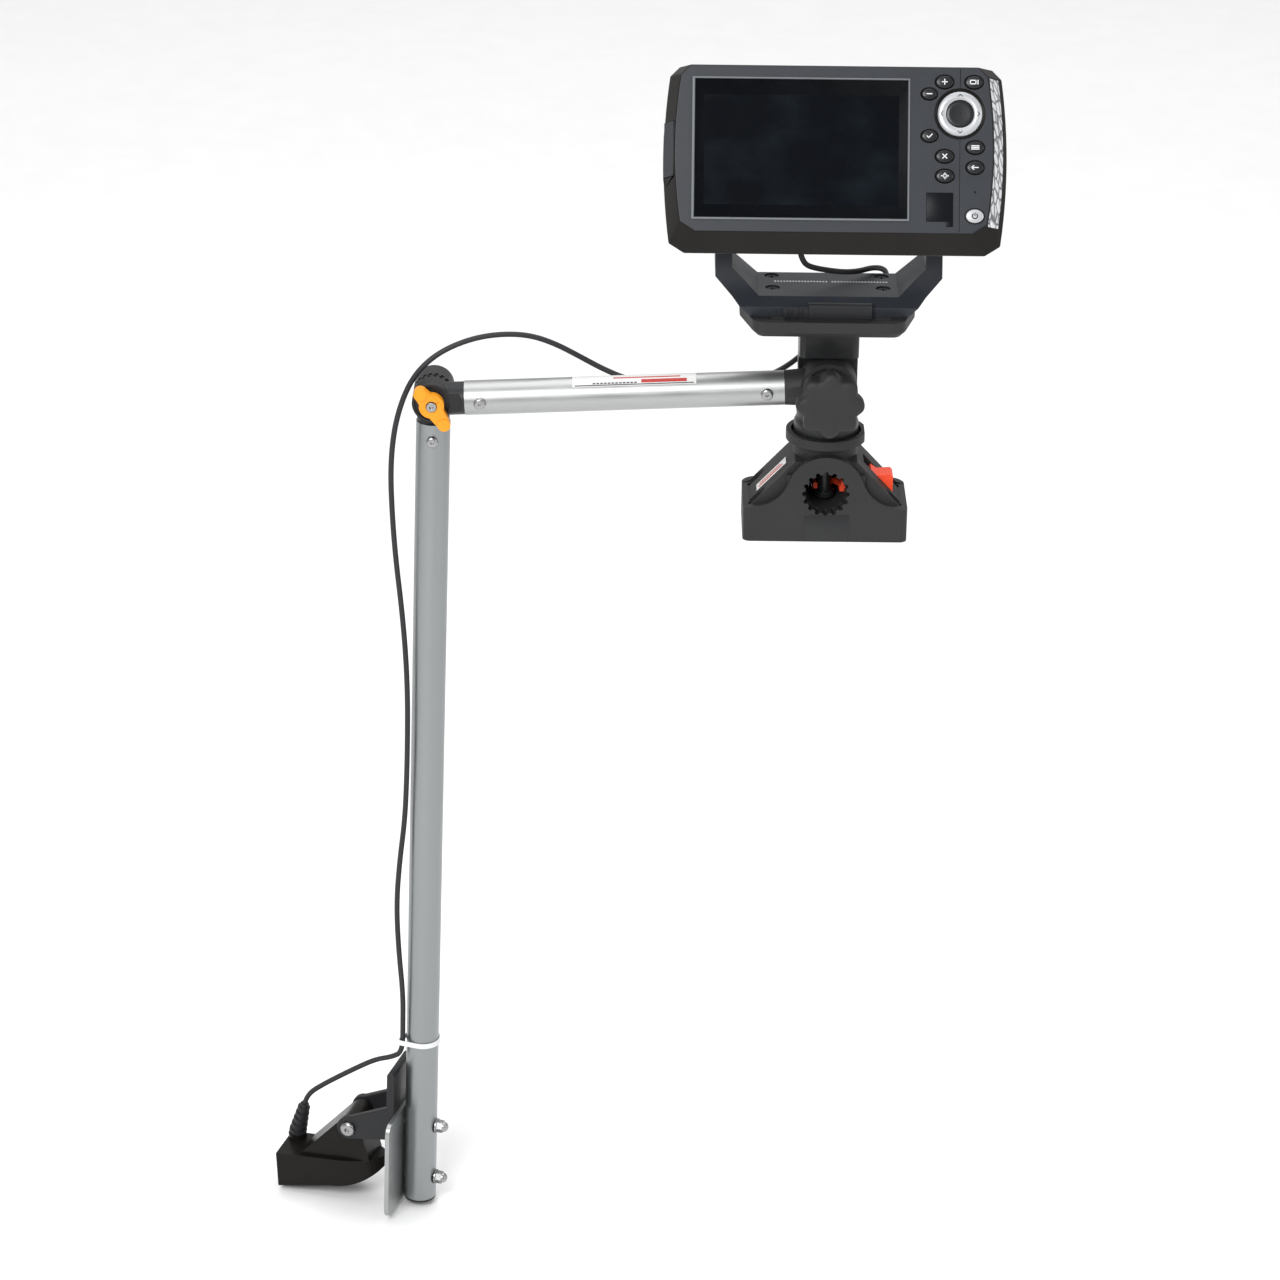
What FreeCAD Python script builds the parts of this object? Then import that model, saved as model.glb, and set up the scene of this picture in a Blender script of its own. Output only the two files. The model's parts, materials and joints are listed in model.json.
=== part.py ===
import FreeCAD, Part
import math
import os
from FreeCAD import Placement, Rotation, Vector

os.makedirs("parts", exist_ok=True)

# Fish finder rig, millimetres, +Z up.  The origin is the centre of the base's underside.
# A screen unit sits on a platform over a clamp base; an arm and a mast carry the transducer.

# ---- base and post ----
base_length = 106.0
base_width = 54.0
base_end_height = 22.0
bell_radius = 25.0
wall_depth = 6.5
side_bore_height = 33.0
side_bore_radius = 13.4
side_bore_teeth = 16
bore_back = 3.0
collar_radius = 21.0
rim_radius = 25.8
rim_bottom = 62.0
recess_floor = 64.0
recess_radius = 22.6
rim_top = 68.0
socket_radius = 16.0
socket_floor = 45.0
mount_spacing_x = base_length - 16.0
mount_spacing_y = base_width - 22.0
mount_slot_length = 9.0
mount_slot_radius = 2.75
post_radius = 19.0
stem_radius = 20.8
stem_shoulder = 74.0
nose_radius = 4.6
nose_head_radius = 6.5
nose_head_height = 26.0
nose_head_length = 3.8
lock_plate_height = 27.0
lock_plate_thick = 4.0
lock_travel = 2.5
lock_tab_width = 14.0
lock_ring_radius = 9.8
lock_hook_start = 9.6
lock_tab_top = 41.5
lock_tab_low = 25.8

# ---- shoulder and arm ----
shoulder_height = 102.0
hub_radius = 18.5
hub_thick = 22.3
hub_back = -2.0
shoulder_bolt_radius = 4.0
knob_radius = 21.3
knob_thick = 28.5
arm_drop = 2.67
arm_length = 253.0
tube_radius = 11.1
tube_wall = 1.6
arm_tube_start = 28.0
elbow_collar = 20.8
arm_tube_length = arm_length - arm_tube_start - elbow_collar

# ---- elbow and mast ----
elbow_radius = 12.8
elbow_half = 18.1
elbow_bolt_radius = 2.5
lever_hub_radius = 8.0
lever_thick = 7.0
lever_reach = 18.7
mast_lean = 1.49
mast_tube_start = 21.6
mast_tube_length = 580.4
mast_end = mast_tube_start + mast_tube_length
plug_length = 32.0

# ---- foot of the mast ----
foot_turn = -16.0
foot_plate_thick = 3.0
foot_plate_top = mast_end - 69.5
foot_plate_bottom = mast_end + 3.5
foot_plate_near = 36.0
foot_plate_far = 20.0
foot_bolt_upper = mast_end - 56.5
foot_bolt_lower = mast_end - 15.5
bracket_width = 36.0
bracket_block_top = mast_end - 101.5
bracket_block_thick = 5.6
ear_thick = 5.0
hinge_reach = 47.3
hinge_depth = mast_end - 52.5
hinge_bolt_radius = 3.0
body_top = mast_end - 24.5
body_bottom = mast_end + 1.5
keel_rise = 5.0
body_tail = 104.0
body_nose = 28.0
body_half_width = 16.0
tie_depth = mast_end - 124.0
transducer_droop = 4.3
boot_seat = 4.0
boot_length = 25.0
boot_radius = 5.4
boot_tip_radius = 3.0

# ---- platform and screen unit ----
platform_bottom = 146.0
platform_top = 156.5
platform_half = 55.5
platform_shift = -2.0
platform_front = -47.0
platform_back = 38.0
plate_slot_radius = 4.0
gimbal_inner = 61.0
gimbal_arm = 10.5
gimbal_base_thick = 11.0
gimbal_round = 14.0
pivot_height = 238.5
screw_spacing_x = 70.0
screw_spacing_y = 23.0
screen_tilt = 26.0
screen_x = -2.0
face_y = -38.0
face_z = 267.0
face_half_width = 94.75
face_half_height = 51.7
side_bow = 3.6
left_flare = 6.8
right_flare = 9.6
chin_drop = 12.0
case_wall = 3.0
case_depth = 28.0
rear_half_width = 59.5
rear_depth = 62.0
window_x = -20.5
window_width = 134.0
window_height = 88.0
key_travel = 0.8
door_thick = 1.0
door_gap = 0.2
door_half_height = 17.0
door_edge = 0.5
door_margin = 2.5
plug_grip = 6.0
plug_tail = 4.0
nav_x = 77.6
nav_y = 22.7
nav_radius = 13.8

# ---- fits ----
running = 0.06
press_gap = 0.02
key_gap = 0.25
part_gap = 0.3

lead_diameter = 3.6

X = Vector(1, 0, 0)
Y = Vector(0, 1, 0)
Z = Vector(0, 0, 1)


# ---- helpers ----
def save(name, shape):
    """Write one sub-part and keep its solid count honest."""
    shape = shape.removeSplitter() if len(shape.Solids) == 1 else shape
    shape.exportStep("parts/" + name + ".step")
    print(name, len(shape.Solids), round(shape.Volume, 1), shape.isValid())


def box(x0, x1, y0, y1, z0, z1):
    return Part.makeBox(x1 - x0, y1 - y0, z1 - z0, Vector(x0, y0, z0))


def cyl(radius, start, end):
    """Cylinder from one point to another."""
    start = Vector(*start)
    axis = Vector(*end) - start
    return Part.makeCylinder(radius, axis.Length, start, axis)


def cone(radius_start, radius_end, start, end):
    start = Vector(*start)
    axis = Vector(*end) - start
    return Part.makeCone(radius_start, radius_end, axis.Length, start, axis)


def prism(points, axis, low, high):
    """Polygon given in the plane across an axis, pushed from low to high along it."""
    if axis == "x":
        ring = [Vector(low, a, b) for a, b in points]
        push = X
    elif axis == "y":
        ring = [Vector(a, low, b) for a, b in points]
        push = Y
    else:
        ring = [Vector(a, b, low) for a, b in points]
        push = Z
    face = Part.Face(Part.makePolygon(ring + [ring[0]]))
    return face.extrude(push * (high - low))


def hexagon(radius, x=0.0, y=0.0):
    turns = [math.radians(60 * i) for i in range(6)]
    return [(x + radius * math.cos(t), y + radius * math.sin(t)) for t in turns]


def edges_along(shape, axis, test=None):
    """Straight edges parallel to an axis, kept when test(centre) holds."""
    kept = []
    for edge in shape.Edges:
        if not isinstance(edge.Curve, Part.Line):
            continue
        line = edge.Vertexes[1].Point - edge.Vertexes[0].Point
        if abs(abs(line.normalize().dot(axis)) - 1) > 1e-6:
            continue
        if test is None or test(edge.CenterOfMass):
            kept.append(edge)
    return kept


def fuse(first, *rest):
    return first.multiFuse(list(rest))


def around(shape, count, axis, centre, start=0.0):
    """Copies of a shape spaced evenly round an axis."""
    copies = []
    for i in range(count):
        copy = shape.copy()
        copy.rotate(centre, axis, start + 360.0 * i / count)
        copies.append(copy)
    return copies


def slot(x, y, length, radius, z0, z1):
    """Slotted cutter along X."""
    half = length / 2 - radius
    ends = [cyl(radius, (x + side * half, y, z0), (x + side * half, y, z1)) for side in (-1, 1)]
    return fuse(box(x - half, x + half, y - radius, y + radius, z0, z1), *ends)


def helix_spring(radius, wire, length, turns, start, axis):
    """Coil spring that starts at a point and runs along an axis."""
    path = Part.makeHelix(length / turns, length, radius)
    section = Part.Wire(Part.makeCircle(wire, Vector(radius, 0, 0), Y))
    coil = Part.Wire(path.Edges).makePipeShell([section], True, True)
    coil.Placement = Placement(start, Rotation(Z, axis))
    return coil


# ---- base ----
def base_profile():
    """Outline of the bell-shaped front and back walls, in X and Z."""
    half = base_length / 2
    top = side_bore_height + bell_radius
    left = [
        Vector(-half, 0, 0),
        Vector(-half, 0, base_end_height),
        Vector(-half + 6, 0, base_end_height + 1.5),
        Vector(-half + 24, 0, base_end_height + 10),
        Vector(-bell_radius + 1.5, 0, side_bore_height + 9),
        Vector(0, 0, top),
    ]
    right = [Vector(-p.x, p.y, p.z) for p in left]
    edges = [
        Part.LineSegment(left[0], left[1]).toShape(),
        Part.LineSegment(left[1], left[2]).toShape(),
        Part.Arc(left[2], left[3], left[4]).toShape(),
        Part.Arc(left[4], left[5], right[4]).toShape(),
        Part.Arc(right[4], right[3], right[2]).toShape(),
        Part.LineSegment(right[2], right[1]).toShape(),
        Part.LineSegment(right[1], right[0]).toShape(),
        Part.LineSegment(right[0], left[0]).toShape(),
    ]
    return Part.Wire(edges)


def base_housing():
    half = base_length / 2
    depth = base_width / 2
    slab = box(-half, half, -depth, depth, 0, base_end_height)
    slab = slab.makeFillet(5, edges_along(slab, Z))
    wall = Part.Face(base_profile()).extrude(Y * wall_depth)
    front = wall.copy()
    front.translate(Vector(0, -depth, 0))
    back = wall.copy()
    back.translate(Vector(0, depth - wall_depth, 0))
    corners = box(-half, half, -depth, depth, 0, 2 * bell_radius + side_bore_height)
    corners = corners.makeFillet(5, edges_along(corners, Z))
    ramp = prism(
        [(-half + 3, base_end_height - 1), (-collar_radius + 1, rim_bottom - 9),
         (collar_radius - 1, rim_bottom - 9), (half - 3, base_end_height - 1)],
        "y", -depth + wall_depth - 1, depth - wall_depth + 1)
    core = box(-bell_radius, bell_radius, -depth + 2, depth - 2, base_end_height - 1, side_bore_height + 12)
    collar = cyl(collar_radius, (0, 0, base_end_height - 1), (0, 0, rim_bottom))
    rim = cyl(rim_radius, (0, 0, rim_bottom), (0, 0, rim_top))
    body = fuse(slab, front, back, ramp, core, collar).common(corners)
    body = fuse(body, rim)
    body = body.cut(cyl(socket_radius, (0, 0, socket_floor), (0, 0, rim_top + 1)))
    body = body.cut(cyl(recess_radius, (0, 0, recess_floor), (0, 0, rim_top + 1)))
    bore = cyl(side_bore_radius, (0, -depth - 1, side_bore_height),
               (0, depth - bore_back, side_bore_height))
    tooth = cyl(1.5, (side_bore_radius + 0.4, -depth - 1, side_bore_height),
                (side_bore_radius + 0.4, -depth + wall_depth + 2, side_bore_height))
    body = body.cut(bore)
    for notch in around(tooth, side_bore_teeth, Y, Vector(0, 0, side_bore_height)):
        body = body.cut(notch)
    for side_x in (-1, 1):
        for side_y in (-1, 1):
            x = side_x * mount_spacing_x / 2
            y = side_y * mount_spacing_y / 2
            body = body.cut(slot(x, y, mount_slot_length, mount_slot_radius, -1, base_end_height + 8))
            pocket = slot(x, y, mount_slot_length + 4, mount_slot_radius + 1.5, base_end_height, 40)
            body = body.cut(pocket)
    body = body.cut(lock_cutter())
    return body.cut(spring_cutter())


def lock_cutter():
    """Room for the lock plate and its tab in the base's right side."""
    gap = part_gap
    z0 = lock_plate_height - gap
    z1 = lock_plate_height + lock_plate_thick + gap
    half = lock_tab_width / 2 + gap
    channel = box(0, base_length / 2 - 9, -half, half, z0, z1)
    x0, x1 = lock_tab_reach()
    x0 -= lock_travel + gap
    pocket = prism([(x0, lock_tab_top - 3.5), (x0, 80), (x1 + 20, 80), (x1 + 20, lock_tab_low - gap),
                    (x1 - lock_travel - 3.3, lock_tab_low - gap)], "y", -half, half)
    return fuse(channel, pocket)


def lock_tab_reach():
    return 27.5, 44.0


def spring_cutter():
    z = lock_plate_height + lock_plate_thick / 2
    return cyl(3.2, (-collar_radius - 2, 0, z), (0, 0, z))


def lock_button():
    """Red lock: a plate with a window for the post's nose, and a thumb tab on the slope."""
    half = lock_tab_width / 2
    z0 = lock_plate_height
    z1 = z0 + lock_plate_thick
    window_shift = nose_head_radius + 0.7 - nose_radius - part_gap
    plate = box(window_shift, 43, -half, half, z0, z1)
    plate = plate.fuse(cyl(lock_ring_radius, (window_shift, 0, z0), (window_shift, 0, z1)))
    plate = plate.cut(cyl(nose_head_radius + 0.7, (window_shift, 0, z0 - 1), (window_shift, 0, z1 + 1)))
    plate = plate.cut(box(-40, lock_hook_start, -40, -2, z0 - 1, z1 + 1))
    lug = prism([(lock_hook_start, z0 + 1), (lock_hook_start + 2.6, z0 + 1), (lock_hook_start + 3, z1 + 5),
                 (lock_hook_start + 1.8, z1 + 5)], "y", -half, half)
    x0, x1 = lock_tab_reach()
    side = [(x0, lock_tab_top - 3.2), (x0 + 2.3, lock_tab_top), (x0 + 6, lock_tab_top - 3),
            (x1 - 1.5, lock_tab_top - 2.4), (x1, lock_tab_top - 3.9), (x1, lock_tab_low)]
    return fuse(plate, lug, prism(side, "y", -half, half))


def lock_spring():
    z = lock_plate_height + lock_plate_thick / 2
    plate_end = nose_head_radius + 0.7 - nose_radius - part_gap - lock_ring_radius
    length = collar_radius + 2 + plate_end - 2 * part_gap
    return helix_spring(2.3, 0.35, length, 7, Vector(-collar_radius - 2 + part_gap, 0, z), X)


# ---- post ----
def post():
    """Post moulding: nose, splined spigot, stem, rear half of the shoulder and the neck."""
    clear = 1.4
    low = shoulder_height - hub_radius - clear
    high = shoulder_height + hub_radius + clear
    face = hub_back + part_gap
    nose_end = nose_head_height - nose_head_length
    nose = fuse(cyl(nose_radius, (0, 0, nose_end), (0, 0, socket_floor + 1)),
                cyl(nose_head_radius, (0, 0, nose_end), (0, 0, nose_head_height)))
    foot = recess_floor + part_gap
    spigot = cyl(socket_radius - 1.6, (0, 0, socket_floor + part_gap), (0, 0, foot + 1))
    rib = box(socket_radius - 2.6, socket_radius - 0.5, -1.1, 1.1, socket_floor + 1, foot + 1)
    stem = fuse(cyl(stem_radius, (0, 0, foot), (0, 0, stem_shoulder)),
                cone(stem_radius, post_radius, (0, 0, stem_shoulder), (0, 0, stem_shoulder + 4)),
                cyl(post_radius, (0, 0, stem_shoulder), (0, 0, low)))
    back = box(-post_radius, post_radius, face, post_radius, low - 6, high + 6)
    back = back.common(cyl(post_radius + 3.5, (0, 0, low - 6), (0, 0, high + 6)))
    disc = cyl(hub_radius, (0, face, shoulder_height), (0, post_radius + 1, shoulder_height))
    neck = box(-post_radius, post_radius, -post_radius + 2, post_radius - 2, high, platform_bottom)
    neck = neck.makeFillet(4, edges_along(neck, Z))
    body = fuse(nose, spigot, stem, back, disc, neck, *around(rib, 18, Z, Vector(0, 0, 0)))
    bolt_hole = cyl(shoulder_bolt_radius + press_gap, (0, -40, shoulder_height), (0, 40, shoulder_height))
    body = body.cut(bolt_hole)
    for x in (-12, 12):
        for y in (-10, 10):
            body = body.cut(cyl(1.9 + press_gap, (x, y, platform_bottom - 14), (x, y, platform_bottom + 1)))
    return body


def shoulder_bolt():
    head_at = post_radius + 1
    shank = cyl(shoulder_bolt_radius, (0, -46, shoulder_height), (0, head_at, shoulder_height))
    head = cyl(8, (0, head_at, shoulder_height), (0, head_at + 3.5, shoulder_height))
    return fuse(shank, head.makeFillet(1.5, [head.Edges[0]]))


def knob_outline(radius, lobes, dip, y):
    """Lobed star outline round the shoulder axis."""
    edges = []
    step = 2 * math.pi / lobes
    for i in range(lobes):
        points = []
        for part, r in ((0.0, radius - dip), (0.5, radius), (1.0, radius - dip)):
            a = (i + part) * step
            points.append(Vector(r * math.sin(a), y, r * math.cos(a) + shoulder_height))
        edges.append(Part.Arc(*points).toShape())
    return Part.Wire(edges)


def star_knob():
    back = hub_back - hub_thick - part_gap
    front = back - knob_thick - 2.5
    outline = knob_outline(knob_radius, 8, 2.4, front)
    crown = Part.Face(outline).extrude(Y * (knob_thick - 11))
    flare = cone(knob_radius - 2, 12.5, (0, front + knob_thick - 11, shoulder_height),
                 (0, back - 4, shoulder_height))
    foot = cyl(12.5, (0, back - 4, shoulder_height), (0, back, shoulder_height))
    knob = fuse(crown, flare, foot)
    return knob.cut(cyl(6.2, (0, front + 6, shoulder_height), (0, back + 1, shoulder_height)))


def knob_insert():
    back = hub_back - hub_thick - part_gap
    front = back - knob_thick - 2.5
    sleeve = cyl(6.2 - press_gap, (0, front + 6.5, shoulder_height), (0, back, shoulder_height))
    bolt_hole = cyl(shoulder_bolt_radius + running, (0, -80, shoulder_height), (0, 0, shoulder_height))
    return sleeve.cut(bolt_hole)


# ---- arm: drawn level along -X at the shoulder, then dropped by its angle ----
def arm_plane():
    return hub_back - hub_thick / 2


def on_arm(shape):
    shape = shape.copy()
    shape.rotate(Vector(0, 0, shoulder_height), Y, -arm_drop)
    return shape


def along_arm(radius, x0, x1):
    y = arm_plane()
    return cyl(radius, (x0, y, shoulder_height), (x1, y, shoulder_height))


def arm_screw_places():
    return (-arm_tube_start - 11.2, -arm_tube_start - arm_tube_length + 9.9)


def screw_cutter(x):
    y = arm_plane()
    return cyl(2.0 + press_gap, (x, y - tube_radius - 1, shoulder_height), (x, y, shoulder_height))


def arm_hub():
    y = arm_plane()
    front = hub_back - hub_thick
    disc = cyl(hub_radius, (0, front, shoulder_height), (0, hub_back, shoulder_height))
    dish = cyl(hub_radius - 2.6, (0, front - 1, shoulder_height), (0, front + 2.5, shoulder_height))
    boss = cyl(7.5, (0, front + 0.2, shoulder_height), (0, front + 4, shoulder_height))
    neck = cone(tube_radius, tube_radius + 1.6, (-arm_tube_start + 0.1, y, shoulder_height),
                (-5, y, shoulder_height))
    plug = along_arm(tube_radius - tube_wall - press_gap, -arm_tube_start - plug_length,
                     -arm_tube_start + 1)
    hub_top = shoulder_height + hub_radius
    lug = box(-1.2, 1.2, front, front + 4, hub_top - 3.5, hub_top - 1)
    keep = box(-200, 40, front, hub_back, 0, 200)
    hub = fuse(disc.cut(dish), neck.common(keep), plug, boss, lug)
    bolt_hole = cyl(shoulder_bolt_radius + running, (0, front - 5, shoulder_height),
                    (0, 5, shoulder_height))
    hub = hub.cut(bolt_hole)
    return hub.cut(screw_cutter(arm_screw_places()[0]))


def arm_tube():
    x0 = -arm_tube_start
    x1 = x0 - arm_tube_length
    tube = along_arm(tube_radius, x0, x1).cut(along_arm(tube_radius - tube_wall, x0 + 1, x1 - 1))
    for x in arm_screw_places():
        tube = tube.cut(screw_cutter(x))
    return tube


def elbow_teeth(shape, centre, y):
    """Shallow notches round the rim where the elbow's halves meet."""
    x = centre.x + elbow_radius + 0.3
    notch = cyl(1.3, (x, y - 3, centre.z), (x, y + 3, centre.z))
    for cutter in around(notch, 20, Y, centre, 9.0):
        shape = shape.cut(cutter)
    return shape


def arm_elbow():
    y = arm_plane()
    centre = Vector(-arm_length, 0, shoulder_height)
    front = y + 9.5 - elbow_half
    disc = cyl(elbow_radius, (centre.x, front, centre.z), (centre.x, y + 9.5, centre.z))
    ring = cyl(elbow_radius - 1.5, (centre.x, front - 1, centre.z), (centre.x, front + 1.6, centre.z))
    ring = ring.cut(cyl(lever_hub_radius, (centre.x, front - 2, centre.z), (centre.x, front + 3, centre.z)))
    end = -arm_tube_start - arm_tube_length
    collar = along_arm(tube_radius - 0.5, end - 0.1, centre.x + 6)
    plug = along_arm(tube_radius - tube_wall - press_gap, end + plug_length, end - 1)
    keep = box(-400, 0, y - tube_radius, y + 9.5, 0, 200)
    lever_room = cyl(lever_reach + part_gap, (centre.x, front - 20, centre.z), (centre.x, front, centre.z))
    body = fuse(disc.cut(ring), collar.common(keep).cut(disc).cut(lever_room), plug)
    body = elbow_teeth(body, centre, y + 9.5)
    body = body.cut(cyl(elbow_bolt_radius + press_gap, (centre.x, -60, centre.z), (centre.x, 60, centre.z)))
    return body.cut(screw_cutter(arm_screw_places()[1]))


def button_screw(length, head_radius=3.9, shank=2.0):
    """Socket button screw pointing along +Y, head face at y = 0 seat."""
    head = cyl(head_radius, (0, -2.4, 0), (0, 0, 0))
    head = head.makeFillet(1.8, [e for e in head.Edges if abs(e.CenterOfMass.y + 2.4) < 0.01 and e.Closed])
    socket = prism(hexagon(1.25), "y", -3, -1)
    return fuse(head.cut(socket), cyl(shank, (0, 0, 0), (0, length, 0)))


def arm_screws():
    """Screw and washer at each end of the arm tube, as one group of solids."""
    solids = []
    for x in arm_screw_places():
        seat = arm_plane() - tube_radius - 0.2
        screw = button_screw(tube_radius - 1.1)
        screw.translate(Vector(x, seat, shoulder_height))
        solids.append(screw)
    return Part.makeCompound(solids)


def elbow_front():
    return arm_plane() + 9.5 - elbow_half


def elbow_back():
    return arm_plane() + 9.5 + part_gap + elbow_half


def elbow_bolt():
    head = elbow_front() - lever_thick + 2.2
    z = shoulder_height
    shank = cyl(elbow_bolt_radius, (-arm_length, head, z), (-arm_length, elbow_back() + 6.5, z))
    cap = cyl(3.2, (-arm_length, head - 2.6, z), (-arm_length, head, z))
    sides = hexagon(1.4, -arm_length, z)
    return fuse(shank, cap.cut(prism(sides, "y", head - 3, head - 1)))


def elbow_nut():
    z = shoulder_height
    y0 = elbow_back() + part_gap
    sides = hexagon(5.8, -arm_length, z)
    nut = prism(sides, "y", y0, y0 + 5)
    return nut.cut(cyl(elbow_bolt_radius + press_gap, (-arm_length, y0 - 1, z), (-arm_length, y0 + 8, z)))


def elbow_lever():
    """Two-lobed clamp lever."""
    z = shoulder_height
    back = elbow_front() - part_gap
    front = back - lever_thick
    centre = (-arm_length, z)
    lobes = ((-6.6, 8.6, 4.3), (7.4, -12.6, lever_reach - math.hypot(7.4, 12.6)))
    parts = [cyl(lever_hub_radius, (centre[0], front + 1.2, z), (centre[0], back, z))]
    for dx, dz, r in lobes:
        lobe = cyl(r, (centre[0] + dx, front, z + dz), (centre[0] + dx, back - 1.0, z + dz))
        reach = math.hypot(dx, dz)
        ux = dx / reach
        uz = dz / reach
        web = prism([(centre[0] - uz * 6, z + ux * 6), (centre[0] + uz * 6, z - ux * 6),
                     (centre[0] + dx + uz * r, z + dz - ux * r),
                     (centre[0] + dx - uz * r, z + dz + ux * r)],
                    "y", front + 0.8, back - 1.0)
        parts += [lobe, web]
    lever = fuse(*parts)
    lever = lever.cut(cyl(3.7, (centre[0], front - 1, z), (centre[0], front + 2.2 + part_gap, z)))
    return lever.cut(cyl(elbow_bolt_radius + running, (centre[0], front - 1, z), (centre[0], back + 1, z)))


# ---- mast: drawn straight down from the elbow pivot at the origin, then leaned and placed ----
def elbow_place():
    drop = math.radians(arm_drop)
    return Vector(-arm_length * math.cos(drop), mast_plane(), shoulder_height - arm_length * math.sin(drop))


def mast_plane():
    return arm_plane() + 9.5 + part_gap + elbow_half / 2


def on_mast(shape):
    shape = shape.copy()
    shape.Placement = Placement(elbow_place(), Rotation(Y, mast_lean)).multiply(shape.Placement)
    return shape


def mast_elbow():
    half = elbow_half / 2
    disc = cyl(elbow_radius, (0, -half, 0), (0, half, 0))
    stem = cyl(tube_radius - 0.6, (0, 0, -4), (0, 0, -mast_tube_start + 0.1))
    stem = stem.common(box(-30, 30, -half, half, -60, 0))
    plug = cyl(tube_radius - tube_wall - press_gap, (0, 0, 1 - mast_tube_start),
               (0, 0, -mast_tube_start - plug_length))
    plug = plug.common(box(-30, 30, -half, half, -100, 0))
    body = elbow_teeth(fuse(disc, stem, plug), Vector(0, 0, 0), -half)
    body = body.cut(cyl(elbow_bolt_radius + running, (0, -30, 0), (0, 30, 0)))
    return body.cut(cyl(2.0 + press_gap, (0, -15, -mast_tube_start - 11), (0, 0, -mast_tube_start - 11)))


def mast_tube():
    top = -mast_tube_start
    bottom = top - mast_tube_length
    tube = cyl(tube_radius, (0, 0, top), (0, 0, bottom))
    tube = tube.cut(cyl(tube_radius - tube_wall, (0, 0, top + 1), (0, 0, bottom - 1)))
    tube = tube.cut(cyl(2.0 + press_gap, (0, -15, top - 11), (0, 0, top - 11)))
    for depth in (foot_bolt_upper, foot_bolt_lower):
        tube = tube.cut(in_foot(cyl(2.5 + press_gap, (-20, 0, -depth), (20, 0, -depth))))
    return tube


def mast_screw():
    screw = button_screw(tube_radius - 1.1)
    screw.translate(Vector(0, -tube_radius - 0.2, -mast_tube_start - 11))
    return screw


def mast_end_plug():
    bottom = -mast_tube_start - mast_tube_length
    cap = cyl(tube_radius, (0, 0, bottom), (0, 0, bottom - 2))
    low_edge = [e for e in cap.Edges if abs(e.CenterOfMass.z - bottom + 2) < 0.01 and e.Closed]
    cap = cap.makeFillet(0.8, low_edge)
    return fuse(cap, cyl(tube_radius - tube_wall - press_gap, (0, 0, bottom), (0, 0, bottom + 12)))


# ---- foot: x towards the clamp nuts, turned about the mast ----
def in_foot(shape):
    shape = shape.copy()
    shape.rotate(Vector(0, 0, 0), Z, foot_turn)
    return shape


def on_foot(shape):
    return on_mast(in_foot(shape))


def on_transducer(shape):
    shape = shape.copy()
    shape.rotate(Vector(-hinge_reach, 0, -hinge_depth), Y, -transducer_droop)
    return on_foot(shape)


def plate_face():
    return -tube_radius - foot_plate_thick


def foot_plate():
    x0 = plate_face()
    x1 = -tube_radius
    plate = box(x0, x1, -foot_plate_near, foot_plate_far, -foot_plate_bottom, -foot_plate_top)
    plate = plate.makeFillet(7, edges_along(plate, X, lambda c: c.y < 0))
    for depth in (foot_bolt_upper, foot_bolt_lower):
        plate = plate.cut(cyl(2.5 + press_gap, (x0 - 1, 0, -depth), (x1 + 1, 0, -depth)))
    return plate


def bolt_start(depth):
    if depth == foot_bolt_upper:
        return plate_face() - bracket_block_thick
    return plate_face()


def foot_bolts():
    solids = []
    for depth in (foot_bolt_upper, foot_bolt_lower):
        x = bolt_start(depth)
        shank = cyl(2.5, (x, 0, -depth), (tube_radius + 7, 0, -depth))
        head = cyl(4.4, (x - 2.6, 0, -depth), (x, 0, -depth))
        solids.append(fuse(shank, head))
    return Part.makeCompound(solids)


def acorn_nuts():
    """Domed nut and the washer under it, one pair for each foot bolt."""
    solids = []
    for depth in (foot_bolt_upper, foot_bolt_lower):
        x0 = tube_radius + 1.2
        sides = hexagon(4.5, 0, -depth)
        body = prism(sides, "x", x0, x0 + 4)
        dome = Part.makeSphere(3.6, Vector(x0 + 4, 0, -depth))
        dome = dome.common(box(x0 + 3.5, x0 + 12, -6, 6, -depth - 6, -depth + 6))
        nut = fuse(body, dome).cut(cyl(2.5 + press_gap, (x0 - 1, 0, -depth),
                                       (tube_radius + 7.1, 0, -depth)))
        solids.append(nut)
        washer = cyl(5.2, (tube_radius + 0.1, 0, -depth), (tube_radius + 1.2, 0, -depth))
        solids.append(washer.cut(cyl(2.5 + press_gap, (0, 0, -depth), (30, 0, -depth))))
    return Part.makeCompound(solids)


def transducer_bracket():
    """Block behind the mast with two ears that hold the hinge bolt."""
    half = bracket_width / 2
    x1 = plate_face()
    x0 = x1 - bracket_block_thick
    block = box(x0, x1, -half, half, -hinge_depth - 4, -bracket_block_top)
    block = block.makeFillet(2.5, edges_along(block, Y, lambda c: c.z > -bracket_block_top - 1))
    top = bracket_block_top + 28
    ear = prism([(x1, -top), (x0, -top), (-hinge_reach, 8.5 - hinge_depth),
                 (-hinge_reach, -hinge_depth - 8.5),
                 (x0, -hinge_depth - 4), (x1, -hinge_depth - 4)], "y", -half, -half + ear_thick)
    eye = cyl(8.5, (-hinge_reach, -half, -hinge_depth), (-hinge_reach, -half + ear_thick, -hinge_depth))
    ear = fuse(ear, eye)
    other = ear.copy()
    other.translate(Vector(0, bracket_width - ear_thick, 0))
    body = fuse(block, ear, other)
    body = body.cut(cyl(hinge_bolt_radius + press_gap, (-hinge_reach, -half - 1, -hinge_depth),
                        (-hinge_reach, half + 1, -hinge_depth)))
    return body.cut(cyl(2.5 + press_gap, (x0 - 1, 0, -foot_bolt_upper), (x1 + 1, 0, -foot_bolt_upper)))


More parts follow.
